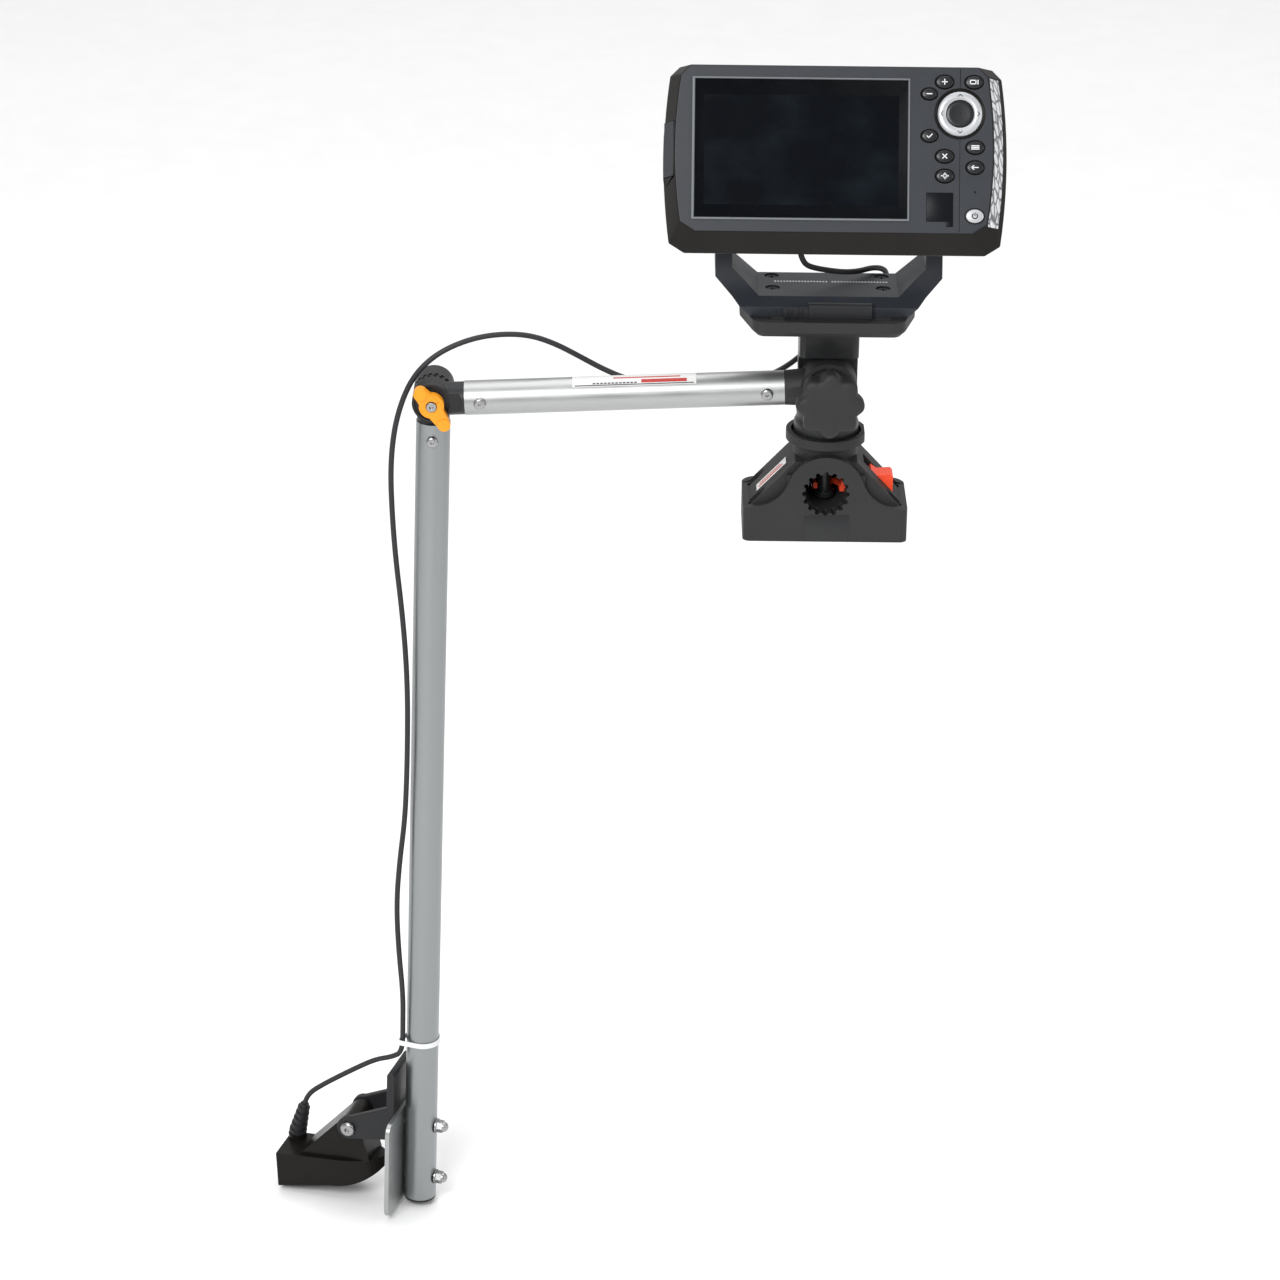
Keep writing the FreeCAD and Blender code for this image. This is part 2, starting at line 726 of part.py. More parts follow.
def hinge_bolt():
    half = bracket_width / 2
    at = (-hinge_reach, -hinge_depth)
    shank = cyl(hinge_bolt_radius, (at[0], -half, at[1]), (at[0], half + 5, at[1]))
    head = cyl(5.3, (at[0], -half - 3.4, at[1]), (at[0], -half, at[1]))
    rim = [e for e in head.Edges if abs(e.CenterOfMass.y + half + 3.4) < 0.01 and e.Closed]
    head = head.makeFillet(2.2, rim)
    sides = hexagon(1.9, at[0], at[1])
    return fuse(shank, head.cut(prism(sides, "y", -half - 4, -half - 1.6)))


def hinge_nut():
    half = bracket_width / 2
    at = (-hinge_reach, -hinge_depth)
    sides = hexagon(5.6, at[0], at[1])
    nut = prism(sides, "y", half, half + 4.8)
    return nut.cut(cyl(hinge_bolt_radius + press_gap, (at[0], 0, at[1]), (at[0], half + 9, at[1])))


def tie_outline(grow, z):
    """Belt line round the mast and the lead beside it."""
    big = tube_radius + 0.15 + grow
    small = lead_diameter / 2 + 0.4 + grow
    place = tie_lead_place()
    gap = math.hypot(*place)
    angle = math.atan2(place[1], place[0])
    spread = math.acos((big - small) / gap)
    a = [Vector(big * math.cos(angle + s * spread), big * math.sin(angle + s * spread), z) for s in (1, -1)]
    b = [Vector(place[0] + small * math.cos(angle + s * spread),
                place[1] + small * math.sin(angle + s * spread), z)
         for s in (1, -1)]
    far = Vector(-big * math.cos(angle), -big * math.sin(angle), z)
    near = Vector(place[0] + small * math.cos(angle), place[1] + small * math.sin(angle), z)
    return Part.Wire([Part.LineSegment(a[0], b[0]).toShape(), Part.Arc(b[0], near, b[1]).toShape(),
                      Part.LineSegment(b[1], a[1]).toShape(), Part.Arc(a[1], far, a[0]).toShape()])


def tie_lead_place():
    """Where the lead passes the tie, from the mast's axis."""
    foot, run = mast_lead_points()
    low = Vector(*foot[-1])
    high = Vector(*run[0])
    share = (-tie_depth - 0.2 - low.z) / (high.z - low.z)
    passing = low + (high - low) * share
    return passing.x, passing.y


def cable_tie():
    z = -tie_depth - 2
    band = Part.Face(tie_outline(1.1, z)).extrude(Z * 3.6)
    band = band.cut(Part.Face(tie_outline(0.0, z - 1)).extrude(Z * 6))
    buckle = box(-3, 3, tube_radius + 1.1, tube_radius + 5.2, z - 0.8, z + 4.4)
    return fuse(band, buckle)


# ---- transducer, in the foot's frame ----
def transducer_body():
    half = body_half_width
    barrel_half = bracket_width / 2 - ear_thick - part_gap
    back = -body_tail
    straight = -body_nose - 30
    ellipse = nose_plan(back, straight, -body_nose, half)
    hull = Part.Face(ellipse).extrude(Z * (body_bottom - body_top))
    hull.translate(Vector(0, 0, -body_bottom))
    tail = Vector(back - 1, -40, -body_bottom)
    keel = Vector(straight - 8, -40, -body_bottom + keel_rise)
    bow = Vector(-body_nose - 12, -40, -body_bottom + 6.5 + 0.8 * keel_rise)
    tip = Vector(-body_nose + 1, -40, -body_top - 7)
    brow = Vector(-body_nose + 1, -40, -body_top)
    stern = Vector(back - 1, -40, -body_top)
    side = Part.Wire([
        Part.LineSegment(tail, keel).toShape(), Part.Arc(keel, bow, tip).toShape(),
        Part.LineSegment(tip, brow).toShape(), Part.LineSegment(brow, stern).toShape(),
        Part.LineSegment(stern, tail).toShape()])
    hull = hull.common(Part.Face(side).extrude(Y * 80))
    web = prism([(-88, -body_top - 1), (-hinge_reach - 5.5, -hinge_depth + 5),
                 (-hinge_reach + 6.5, -hinge_depth - 3),
                 (-hinge_reach + 12, -body_top - 1)], "y", -barrel_half, barrel_half)
    barrel = cyl(7.3, (-hinge_reach, -barrel_half, -hinge_depth), (-hinge_reach, barrel_half, -hinge_depth))
    base, tip = boot_ends()
    seat = cyl(boot_radius + 1, (base.x, base.y, -body_top - 3), (base.x, base.y, -body_top + boot_seat))
    seat = seat.common(box(back, 0, -half, half, -body_bottom, 0))
    body = fuse(hull, web, barrel, seat)
    pivot = cyl(hinge_bolt_radius + running, (-hinge_reach, -40, -hinge_depth),
                (-hinge_reach, 40, -hinge_depth))
    body = body.cut(pivot)
    return body.cut(box(-86, -62, -10, 10, -body_bottom + 7, -body_bottom + 14))


def nose_plan(back, straight, nose, half):
    """Plan outline with an elliptical nose."""
    ellipse = Part.Ellipse(Vector(nose, 0, 0), Vector(straight, half, 0), Vector(straight, 0, 0))
    arc = Part.ArcOfEllipse(ellipse, -math.pi / 2, math.pi / 2).toShape()
    low = Vector(straight, -half, 0)
    high = Vector(straight, half, 0)
    return Part.Wire([Part.LineSegment(Vector(back, -half, 0), low).toShape(), arc,
                      Part.LineSegment(high, Vector(back, half, 0)).toShape(),
                      Part.LineSegment(Vector(back, half, 0), Vector(back, -half, 0)).toShape()])


def transducer_element():
    return box(-85.7, -62.3, -9.7, 9.7, -body_bottom + 7.3, -body_bottom + 13.7)


def boot_ends():
    base = Vector(-97.0, 9.5, -body_top + boot_seat)
    tip = base + Vector(8.0, -2.0, boot_length)
    return base, tip


def transducer_boot():
    """Ribbed strain relief: a taper with five raised rings."""
    base, tip = boot_ends()
    axis = tip - base
    length = axis.Length
    axis.normalize()
    boot = Part.makeCone(boot_radius, boot_tip_radius, length, base, axis)
    for i in range(5):
        share = 0.04 + 0.19 * i
        radius = boot_radius + 0.9 - (boot_radius - boot_tip_radius) * share
        boot = boot.fuse(Part.makeCylinder(radius, 2.6, base + axis * (share * length), axis))
    return boot.common(box(-140, -40, -30, 40, -body_top + boot_seat, -body_top + 60))


# ---- platform ----
def platform_plate():
    wide = platform_half
    outline = [(9 - wide, platform_front), (wide - 9, platform_front), (wide, -14), (wide, 14),
               (wide - 7, platform_back), (7 - wide, platform_back), (-wide, 14), (-wide, -14)]
    plate = prism(outline, "z", platform_bottom, platform_top)
    plate = plate.makeFillet(9, edges_along(plate, Z))
    under = [e for e in plate.Edges if abs(e.BoundBox.ZMax - platform_bottom) < 0.01]
    plate = plate.makeChamfer(3.5, under)
    plate.translate(Vector(platform_shift, 0, 0))
    for x in (-29.5, 31):
        for y in (platform_front + 8.5, platform_back - 9):
            cutter = slot(x + platform_shift, y, 18, plate_slot_radius, platform_bottom - 1,
                          platform_top + 1)
            plate = plate.cut(cutter)
    for x in (-12, 12):
        for y in (-10, 10):
            plate = plate.cut(cyl(2.0 + press_gap, (x, y, platform_bottom - 1), (x, y, platform_top + 1)))
            plate = plate.cut(cone(2.0, 4.2, (x, y, platform_top - 2.2), (x, y, platform_top + 0.01)))
    for x, y in bracket_screw_places():
        plate = plate.cut(cyl(2.2 + press_gap, (x, y, platform_bottom - 1), (x, y, platform_top + 1)))
    return plate


def platform_screws():
    solids = []
    for x in (-12, 12):
        for y in (-10, 10):
            shank = cyl(1.9, (x, y, platform_bottom - 12), (x, y, platform_top - 2))
            head = cone(1.9, 4.0, (x, y, platform_top - 2.1), (x, y, platform_top - 0.1))
            solids.append(fuse(shank, head))
    return Part.makeCompound(solids)


def bracket_screw_places():
    half_x = screw_spacing_x / 2
    half_y = screw_spacing_y / 2
    return [(screen_x + sx * half_x, sy * half_y) for sx in (-1, 1) for sy in (-1, 1)]


def gimbal_outer():
    return gimbal_inner + gimbal_arm


def gimbal_bracket():
    z0 = platform_top
    z1 = z0 + gimbal_base_thick
    outer = gimbal_outer()
    front_view = [(-50, z0), (50, z0), (outer, z0 + 21), (outer, pivot_height + 20),
                  (gimbal_inner, pivot_height + 20),
                  (gimbal_inner, z0 + 26), (44, z1), (-44, z1), (-gimbal_inner, z0 + 26),
                  (-gimbal_inner, pivot_height + 20), (-outer, pivot_height + 20), (-outer, z0 + 21)]
    body = prism(front_view, "y", -40, 40)
    side_view = [(-35, z0), (-35, z0 + 6), (-28, z1), (-20, z0 + 22), (-gimbal_round, z0 + 38),
                 (-gimbal_round, pivot_height), (gimbal_round, pivot_height), (gimbal_round, z0 + 38),
                 (18, z0 + 22), (18, z0)]
    side = prism(side_view, "x", -90, 90)
    side = side.fuse(cyl(gimbal_round, (-90, 0, pivot_height), (90, 0, pivot_height)))
    body = body.common(side)
    body.translate(Vector(screen_x, 0, 0))
    body = body.cut(cyl(2.6, (-90, 0, pivot_height), (90, 0, pivot_height)))
    for x, y in bracket_screw_places():
        body = body.cut(cyl(2.2 + part_gap, (x, y, z0 - 1), (x, y, z1 + 1)))
        body = body.cut(cyl(4.6, (x, y, z1 - 3.6), (x, y, z1 + 10)))
    return body


def bracket_screws():
    solids = []
    seat = platform_top + gimbal_base_thick - 3.6
    for x, y in bracket_screw_places():
        head = cyl(4.0, (x, y, seat), (x, y, seat + 2.6))
        shank = cyl(2.2, (x, y, platform_bottom), (x, y, seat))
        cross = box(x - 2.2, x + 2.2, y - 0.5, y + 0.5, seat + 1.4, seat + 4)
        cross = cross.fuse(box(x - 0.5, x + 0.5, y - 2.2, y + 2.2, seat + 1.4, seat + 4))
        solids.append(fuse(head.cut(cross), shank))
    return Part.makeCompound(solids)


def catch_block():
    """Ribbed catch that stops the gimbal bracket at the front of the platform."""
    z0 = platform_top
    y0 = -39.5
    y1 = -35.0
    block = box(-15, 25, y0, y1, z0, z0 + 9.5)
    block = block.makeChamfer(1.2, edges_along(block, X, lambda c: c.y < -39 and c.z > z0 + 5))
    parts = [block]
    for i in range(5):
        x = -31 + 3.2 * i
        parts.append(box(x, x + 3.3, y0 + 0.8 + 0.7 * (i % 2), y1, z0, z0 + 6.0))
    return fuse(*parts)


# ---- screen unit: x right, y up the face, z out of the face ----
def on_screen(shape):
    shape = shape.copy()
    spin = Placement(Vector(screen_x, face_y, face_z), Rotation(X, 90 - screen_tilt))
    shape.Placement = spin.multiply(shape.Placement)
    return shape


def pivot_in_screen():
    spin = Placement(Vector(screen_x, face_y, face_z), Rotation(X, 90 - screen_tilt))
    return spin.inverse().multVec(Vector(screen_x, 0, pivot_height))


def face_outline(grow_side, grow_top, grow_bottom, z, flare=0.0):
    """Outline of the unit at one depth: straight top and bottom, bowed sides, cut corners."""
    left = -face_half_width - grow_side - flare * left_flare
    right = face_half_width + grow_side + flare * right_flare
    top = face_half_height + grow_top
    bottom = -face_half_height - grow_bottom
    cut = 6.0
    chin = 1.6 * cut
    ring = [Vector(left + cut, top, z), Vector(right - cut, top, z), Vector(right, top - cut, z),
            Vector(right, bottom + cut, z), Vector(right - chin, bottom, z), Vector(left + chin, bottom, z),
            Vector(left, bottom + cut, z), Vector(left, top - cut, z)]
    middle = (top + bottom) / 2
    edges = []
    for i in range(8):
        a = ring[i]
        b = ring[(i + 1) % 8]
        if abs(a.x - b.x) < 1e-9:
            side = 1 if a.x > 0 else -1
            edges.append(Part.Arc(a, Vector(a.x + side * side_bow, middle, z), b).toShape())
        else:
            edges.append(Part.LineSegment(a, b).toShape())
    return Part.Wire(edges)


def front_case():
    depth = case_depth
    half = depth / 2
    wall = case_wall
    outer = Part.makeLoft([face_outline(0, 0, 0, 0), face_outline(0, 0.6, chin_drop, -half, 1),
                           face_outline(-3, -1, chin_drop - 3, -depth, 1)], True, True)
    inner = Part.makeLoft([face_outline(-1.4, -wall, -wall + 0.5, -wall),
                           face_outline(-wall, -wall, chin_drop - wall, -half, 1),
                           face_outline(-3 - wall, -1 - wall, chin_drop - 3 - wall, -depth - 1, 1)],
                           True, True)
    case = outer.cut(inner).cut(on_flank(door_gap))
    w = window_width / 2
    h = window_height / 2
    case = case.cut(box(window_x - w, window_x + w, -h, h, -wall - 2, 1))
    for x, y, rx, ry in keys().values():
        case = case.cut(key_shape(x, y, rx + key_gap, ry + key_gap, -wall - 2, 1))
    case = case.cut(cyl(nav_radius + key_gap, (nav_x, nav_y, -wall - 2), (nav_x, nav_y, 1)))
    return case.cut(cyl(nav_radius + 1.7, (nav_x, nav_y, -0.8), (nav_x, nav_y, 1)))


def keys():
    """Key name to centre and half sizes."""
    return {
        "key_plus": (67.9, 42.4, 5.4, 3.9),
        "key_minus": (58.5, 34.9, 4.7, 3.4),
        "key_view": (86.1, 42.4, 5.4, 3.9),
        "key_check": (58.8, 8.8, 4.9, 3.6),
        "key_menu": (87.1, 1.9, 5.5, 3.9),
        "key_mark": (68.3, -3.7, 5.5, 3.9),
        "key_exit": (87.1, -10.5, 5.3, 3.9),
        "key_goto": (68.5, -15.9, 5.5, 3.9),
        "key_power": (87.2, -40.6, 5.5, 4.2),
    }


def key_shape(x, y, rx, ry, z0, z1):
    """Oval key or its hole."""
    ellipse = Part.Ellipse(Vector(x, y, z0), rx, ry).toShape()
    return Part.Face(Part.Wire([ellipse])).extrude(Z * (z1 - z0))


def key(place):
    x, y, rx, ry = place
    cap = key_shape(x, y, rx, ry, -case_wall - part_gap, 0.9)
    flange = key_shape(x, y, rx + 0.8, ry + 0.8, -case_wall - part_gap - 0.8, -case_wall - part_gap)
    return cap.fuse(flange)


def nav_pad():
    """Four-way ring with its centre disc."""
    outer = cyl(nav_radius, (nav_x, nav_y, -case_wall - part_gap), (nav_x, nav_y, 0.7))
    flange_top = -case_wall - part_gap
    flange = cyl(nav_radius + 1.4, (nav_x, nav_y, flange_top - 0.8), (nav_x, nav_y, flange_top))
    ring = outer.fuse(flange)
    ring = ring.cut(cyl(8.6, (nav_x, nav_y, -10), (nav_x, nav_y, 5)))
    disc = cyl(8.6 - press_gap, (nav_x, nav_y, -case_wall - part_gap - 0.8), (nav_x, nav_y, 0.3))
    return Part.makeCompound([ring, disc])


def screen_frame():
    """Raised lip round the window."""
    w = window_width / 2 - press_gap
    h = window_height / 2 - press_gap
    frame = box(window_x - w, window_x + w, -h, h, -case_wall, 0.8)
    return frame.cut(box(window_x - w + 1.6, window_x + w - 1.6, -h + 1.6, h - 1.6, -10, 5))


def screen_glass():
    w = window_width / 2 - 1.6 - 2 * press_gap
    h = window_height / 2 - 1.6 - 2 * press_gap
    return box(window_x - w, window_x + w, -h, h, -2.0, -0.4)


def screen_panel():
    w = window_width / 2 - 5
    return box(window_x - w, window_x + w, -36, 33.5, -6.5, -2.1)


def keypad_mat():
    z = -case_wall - part_gap - 0.8 - key_travel - 0.2
    return box(50, 91, -46, 46, z - 1.2, z)


def main_board():
    board = box(-80, 84, -42, 42, -16.1, -14.5)
    chips = [box(-40, -22, -10, 8, -18.1, -16.1), box(0, 12, 10, 22, -17.7, -16.1),
             box(20, 44, -30, -18, -19.1, -16.1)]
    return fuse(board, *chips)


def case_gasket():
    """Seal cord between the front case and the rear case."""
    z = -case_depth
    outer = Part.Face(face_outline(-3.6, -1.6, chin_drop - 3.6, z, 1)).extrude(Z * -0.8)
    inner = Part.Face(face_outline(-5.4, -3.4, chin_drop - 5.4, z + 1, 1)).extrude(Z * -3)
    return outer.cut(inner)


def rear_case():
    z0 = -case_depth - 0.8
    lid = Part.Face(face_outline(-3, -1, chin_drop - 3, z0, 1)).extrude(Z * -2.4)
    w = rear_half_width
    tub = box(-w, w, -42, 40, -rear_depth, z0 - 2)
    tub = tub.makeFillet(5, edges_along(tub, X, lambda c: c.z < -rear_depth + 1))
    body = fuse(lid, tub)
    body = body.cut(box(-w + 3, w - 3, -39, 37, -rear_depth + 3, z0 + 1))
    pivot = pivot_in_screen()
    for side in (-1, 1):
        boss = cyl(7.5, (side * (w - 14), pivot.y, pivot.z), (side * w, pivot.y, pivot.z))
        body = body.fuse(boss)
    return body.cut(cyl(2.5 + running, (-100, pivot.y, pivot.z), (100, pivot.y, pivot.z)).cut(
        box(-w + 15, w - 15, -60, 60, -90, 0))).cut(plug_cutter())


def plug_place():
    return (-18.6, -42.0, -47.5)


def plug_cutter():
    x, y, z = plug_place()
    return cyl(6.2, (x, y - 1, z), (x, y + 7, z))


def lead_plug():
    """Moulded plug pushed up into the underside of the rear case."""
    x, y, z = plug_place()
    plug = cyl(6.2 - press_gap, (x, y + 7, z), (x, y, z))
    grip = cyl(5.8, (x, y, z), (x, y - plug_grip, z))
    tail = cone(4.6, 2.6, (x, y - plug_grip, z), (x, y - plug_grip - plug_tail, z))
    return fuse(plug, grip, tail)


def gimbal_knob(side):
    """Thumb knob with its screw through the bracket's arm."""
    pivot = Vector(0, 0, pivot_height)
    start = gimbal_outer() + part_gap
    shank = cyl(2.5, (side * (rear_half_width - 12), 0, pivot.z), (side * (start + 1), 0, pivot.z))
    head = cyl(12, (side * start, 0, pivot.z), (side * (start + 11), 0, pivot.z))
    grip = cyl(2.2, (side * (start + 3), 12.6, pivot.z), (side * (start + 12), 12.6, pivot.z))
    for cutter in around(grip, 10, X, pivot):
        head = head.cut(cutter)
    knob = fuse(shank, head)
    knob.translate(Vector(screen_x, 0, 0))
    return knob


def on_flank(grow):
    """A block on the left flank, the size of the card door grown by a gap on its sides and back."""
    half = case_depth / 2
    run = math.hypot(left_flare, half)
    high = door_half_height + grow
    block = box(-grow * 10, door_thick + grow, -high, high, door_edge - grow, run - door_margin + grow)
    block.rotate(Vector(0, 0, 0), Y, math.degrees(math.atan2(left_flare, half)))
    block.translate(Vector(-(face_half_width + left_flare + side_bow), 0, -half))
    return block


def card_door():
    """Cover over the card slots, let into the left flank."""
    return on_flank(0)


# ---- lead: one cable from the transducer's boot to the screen unit's plug ----
def placed(points, frame):
    """Points of one frame, as world points."""
    return [frame(Part.Vertex(Vector(*p))).Point for p in points]


def mast_lead_points():
    """From the foot up the mast: sideways, to the back, and as a share of the tie's depth."""
    foot = [(-70.4, 26.3, 69.3), (-49.4, 16.8, 87.3), (-32.8, 7.3, 101.8), (-21.4, 0.1, 108.1),
            (-13.5, -5.1, 115.3)]
    run = [(-13.5, -5.4, 0.972), (-13.7, -5.8, 0.922), (-17.2, -5.7, 0.851), (-19.1, -5.7, 0.778),
           (-17.4, -5.7, 0.711), (-14.3, -6.2, 0.644), (-13.4, -7.7, 0.581), (-13.2, -8.2, 0.516),
           (-13.6, -7.7, 0.449),
           (-15.4, -6.2, 0.384), (-18.8, -4.7, 0.315), (-22.8, -4.2, 0.249), (-25.6, -3.7, 0.182)]
    return [(x, y, z - mast_end) for x, y, z in foot], [(x, y, -share * tie_depth) for x, y, share in run]


def arm_lead_points():
    """Over the elbow and along the arm: as a share of the arm's length, to the back, and up."""
    run = [(1.1224, 1, -52.8), (1.1072, -0.5, -26.0), (1.0801, -3, -3.8), (1.0454, -4.8, 13.1),
           (0.9978, -3, 24.4),
           (0.9419, 0, 31.1), (0.8771, 3, 35.2), (0.8085, 5.5, 35.8), (0.7456, 7, 33.4), (0.6875, 8, 27.1),
           (0.6297, 8.5, 18.2), (0.5721, 8.5, 9.1), (0.514, 7.5, 2.1), (0.4474, 5, -1.7),
           (0.3723, 2.8, -2.0),
           (0.3009, 2.6, -1.1)]
    return [(-share * arm_length, y, shoulder_height + z) for share, y, z in run]


def shoulder_lead_points():
    """Round the back of the post: height as a share of the way from the shoulder to the platform's top."""
    run = [(-59, 4.6, -0.077), (-46, 10, -0.092), (-35, 18, -0.073), (-24, 26, -0.009), (-13, 33, 0.119),
           (-1, 39, 0.303), (11, 43.5, 0.486), (22, 46, 0.64)]
    rise = platform_top - shoulder_height
    points = [(x, y, shoulder_height + share * rise) for x, y, share in run]
    over = [(37, 45, -8), (38, 42.5, 0.5), (37, 35.5, 6.7), (33, 27, 11.5), (26.7, 18, 14.6)]
    return points + [(x, y, platform_top + z) for x, y, z in over]


def lead_route():
    """Every point of the lead, with the boot's tip first and the plug's tail last."""
    base, tip = boot_ends()
    first = placed((tip, tip + (tip - base).normalize() * 8), on_transducer)
    foot, mast = mast_lead_points()
    x, y, z = plug_place()
    exit_y = y - plug_grip - plug_tail
    last = placed(((x, exit_y - 5, z), (x, exit_y, z)), on_screen)
    bend = [(17.5, 8.5, 15.3), (8, 0.5, 17.5), (-1.3, -6, 20.7), (-10.5, -12.5, 24.4), (-16.3, -18, 28.2),
            (-19.05, -20.3, 33.0)]
    screen = [(x, y, platform_top + z) for x, y, z in bend]
    parts = (first, placed(foot, on_mast), placed(mast, on_mast), placed(arm_lead_points(), on_arm),
             placed(shoulder_lead_points(), lambda shape: shape))
    counts = [len(part) for part in parts]
    return sum(parts, []) + placed(screen, lambda shape: shape) + last, counts


def lead_parts():
    """The lead in lengths that meet halfway along a straight run, one for each stretch between joints."""
    points, counts = lead_route()
    cuts = [sum(counts[:2]), sum(counts[:3]), sum(counts[:4]), sum(counts)]
    parts = {}
    begin = 0
    start = []
    for name, cut in zip(("lead_foot", "lead_mast", "lead_elbow", "lead_shoulder"), cuts):
        joint = (points[cut - 1] + points[cut]) * 0.5
        parts[name] = start + points[begin:cut] + [joint]
        start = [joint]
        begin = cut
    parts["lead_screen"] = start + points[begin:]
    return parts


def lead(points):
    """Tube along straight runs joined by tangent arcs."""
    edges = []
    radii = []
    last = points[0]
    for i in range(1, len(points) - 1):
        before = points[i - 1] - points[i]
        after = points[i + 1] - points[i]
        turn = math.pi - before.getAngle(after)
        reach = 0.45 * min(before.Length, after.Length)
        radii.append(reach / math.tan(turn / 2))
        before.normalize()
        after.normalize()
        start = points[i] + before * reach
        end = points[i] + after * reach
        bisector = before + after
        bisector.normalize()
        sag = radii[-1] * (1 / math.cos(turn / 2) - 1)
        edges.append(Part.LineSegment(last, start).toShape())
        edges.append(Part.Arc(start, points[i] + bisector * sag, end).toShape())
        last = end
    edges.append(Part.LineSegment(last, points[-1]).toShape())
    path = Part.Wire(edges)
    section = Part.Wire(Part.makeCircle(lead_diameter / 2, points[0], points[1] - points[0]))
    tube = path.makePipeShell([section], True, False)
    share = tube.Volume / (math.pi * lead_diameter ** 2 / 4 * path.Length)
    print("  radii", [round(r) for r in radii], "length", round(path.Length, 1), "share", round(share, 3))
    return tube


def build():
    save("base_housing", base_housing())
    save("lock_button", lock_button())
    save("lock_spring", lock_spring())
    save("post", post())
    save("shoulder_bolt", shoulder_bolt())
    save("star_knob", star_knob())
    save("knob_insert", knob_insert())
    for name, maker in (("arm_hub", arm_hub), ("arm_tube", arm_tube), ("arm_elbow", arm_elbow),
                        ("arm_screws", arm_screws), ("elbow_bolt", elbow_bolt), ("elbow_nut", elbow_nut),
                        ("elbow_lever", elbow_lever)):
        save(name, on_arm(maker()))
    for name, maker in (("mast_elbow", mast_elbow), ("mast_tube", mast_tube), ("mast_screw", mast_screw),
                        ("mast_end_plug", mast_end_plug), ("cable_tie", cable_tie)):
        save(name, on_mast(maker()))
    for name, maker in (("foot_plate", foot_plate), ("foot_bolts", foot_bolts), ("acorn_nuts", acorn_nuts),
                        ("transducer_bracket", transducer_bracket),
                        ("hinge_bolt", hinge_bolt), ("hinge_nut", hinge_nut)):
        save(name, on_foot(maker()))
    for name, maker in (("transducer_body", transducer_body), ("transducer_element", transducer_element),
                        ("transducer_boot", transducer_boot)):
        save(name, on_transducer(maker()))
    for name, maker in (("platform_plate", platform_plate), ("platform_screws", platform_screws),
                        ("gimbal_bracket", gimbal_bracket), ("bracket_screws", bracket_screws),
                        ("catch_block", catch_block)):
        save(name, maker())
    for name, maker in (("front_case", front_case), ("rear_case", rear_case),
                        ("screen_frame", screen_frame),
                        ("screen_glass", screen_glass), ("screen_panel", screen_panel),
                        ("main_board", main_board),
                        ("keypad_mat", keypad_mat), ("case_gasket", case_gasket), ("nav_pad", nav_pad),
                        ("card_door", card_door), ("lead_plug", lead_plug)):
        save(name, on_screen(maker()))
    for name, place in keys().items():
        save(name, on_screen(key(place)))
    save("gimbal_knob_left", gimbal_knob(-1))
    save("gimbal_knob_right", gimbal_knob(1))
    for name, points in lead_parts().items():
        save(name, lead(points))


build()
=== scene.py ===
import json
import math

import bmesh
import bpy
from mathutils import Matrix, Vector


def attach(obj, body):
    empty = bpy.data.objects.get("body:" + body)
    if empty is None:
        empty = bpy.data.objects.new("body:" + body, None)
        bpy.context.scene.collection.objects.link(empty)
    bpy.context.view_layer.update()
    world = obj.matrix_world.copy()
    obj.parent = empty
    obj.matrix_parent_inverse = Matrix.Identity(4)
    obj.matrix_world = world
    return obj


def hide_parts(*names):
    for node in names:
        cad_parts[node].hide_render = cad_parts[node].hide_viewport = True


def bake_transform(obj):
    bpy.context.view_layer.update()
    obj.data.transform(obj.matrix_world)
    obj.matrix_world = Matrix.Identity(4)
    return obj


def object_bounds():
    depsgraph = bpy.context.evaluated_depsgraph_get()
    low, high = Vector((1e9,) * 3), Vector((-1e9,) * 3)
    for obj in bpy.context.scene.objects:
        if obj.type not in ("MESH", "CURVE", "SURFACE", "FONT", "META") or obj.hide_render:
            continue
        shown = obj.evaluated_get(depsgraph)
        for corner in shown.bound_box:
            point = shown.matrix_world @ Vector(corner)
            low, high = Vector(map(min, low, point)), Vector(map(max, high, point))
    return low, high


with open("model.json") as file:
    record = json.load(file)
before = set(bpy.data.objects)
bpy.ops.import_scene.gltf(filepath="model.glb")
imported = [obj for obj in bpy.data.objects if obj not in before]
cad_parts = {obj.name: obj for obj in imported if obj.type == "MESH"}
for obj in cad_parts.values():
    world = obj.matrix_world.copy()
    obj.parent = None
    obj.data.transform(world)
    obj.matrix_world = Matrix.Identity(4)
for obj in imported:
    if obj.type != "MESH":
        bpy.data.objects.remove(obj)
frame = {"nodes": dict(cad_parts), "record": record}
cadLow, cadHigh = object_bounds()
mm = 0.001
print("frame loaded")

# Where the moving groups stand at rest, in millimetres and degrees
places = {
    "shoulderHeight": 102.0, "armY": -13.15, "armDrop": 2.67,
    "faceY": -38.0, "faceZ": 267.0, "faceX": -2.0, "faceTilt": 64.0,
}


def turned(degrees, axis):
    return Matrix.Rotation(math.radians(degrees), 4, axis)


def moved(x, y, z):
    return Matrix.Translation(Vector((x, y, z)) * mm)


armFrame = moved(0, places["armY"], places["shoulderHeight"]) @ turned(-places["armDrop"], "Y")
faceFrame = moved(places["faceX"], places["faceY"], places["faceZ"]) @ turned(places["faceTilt"], "X")


# Materials
def newMaterial(name):
    material = bpy.data.materials.new(name)
    material.use_nodes = True
    tree = material.node_tree
    return material, tree, tree.nodes["Principled BSDF"]


def addNode(tree, kind, **settings):
    node = tree.nodes.new(kind)
    for key, value in settings.items():
        if key in node.inputs:
            node.inputs[key].default_value = value
        else:
            setattr(node, key, value)
    return node


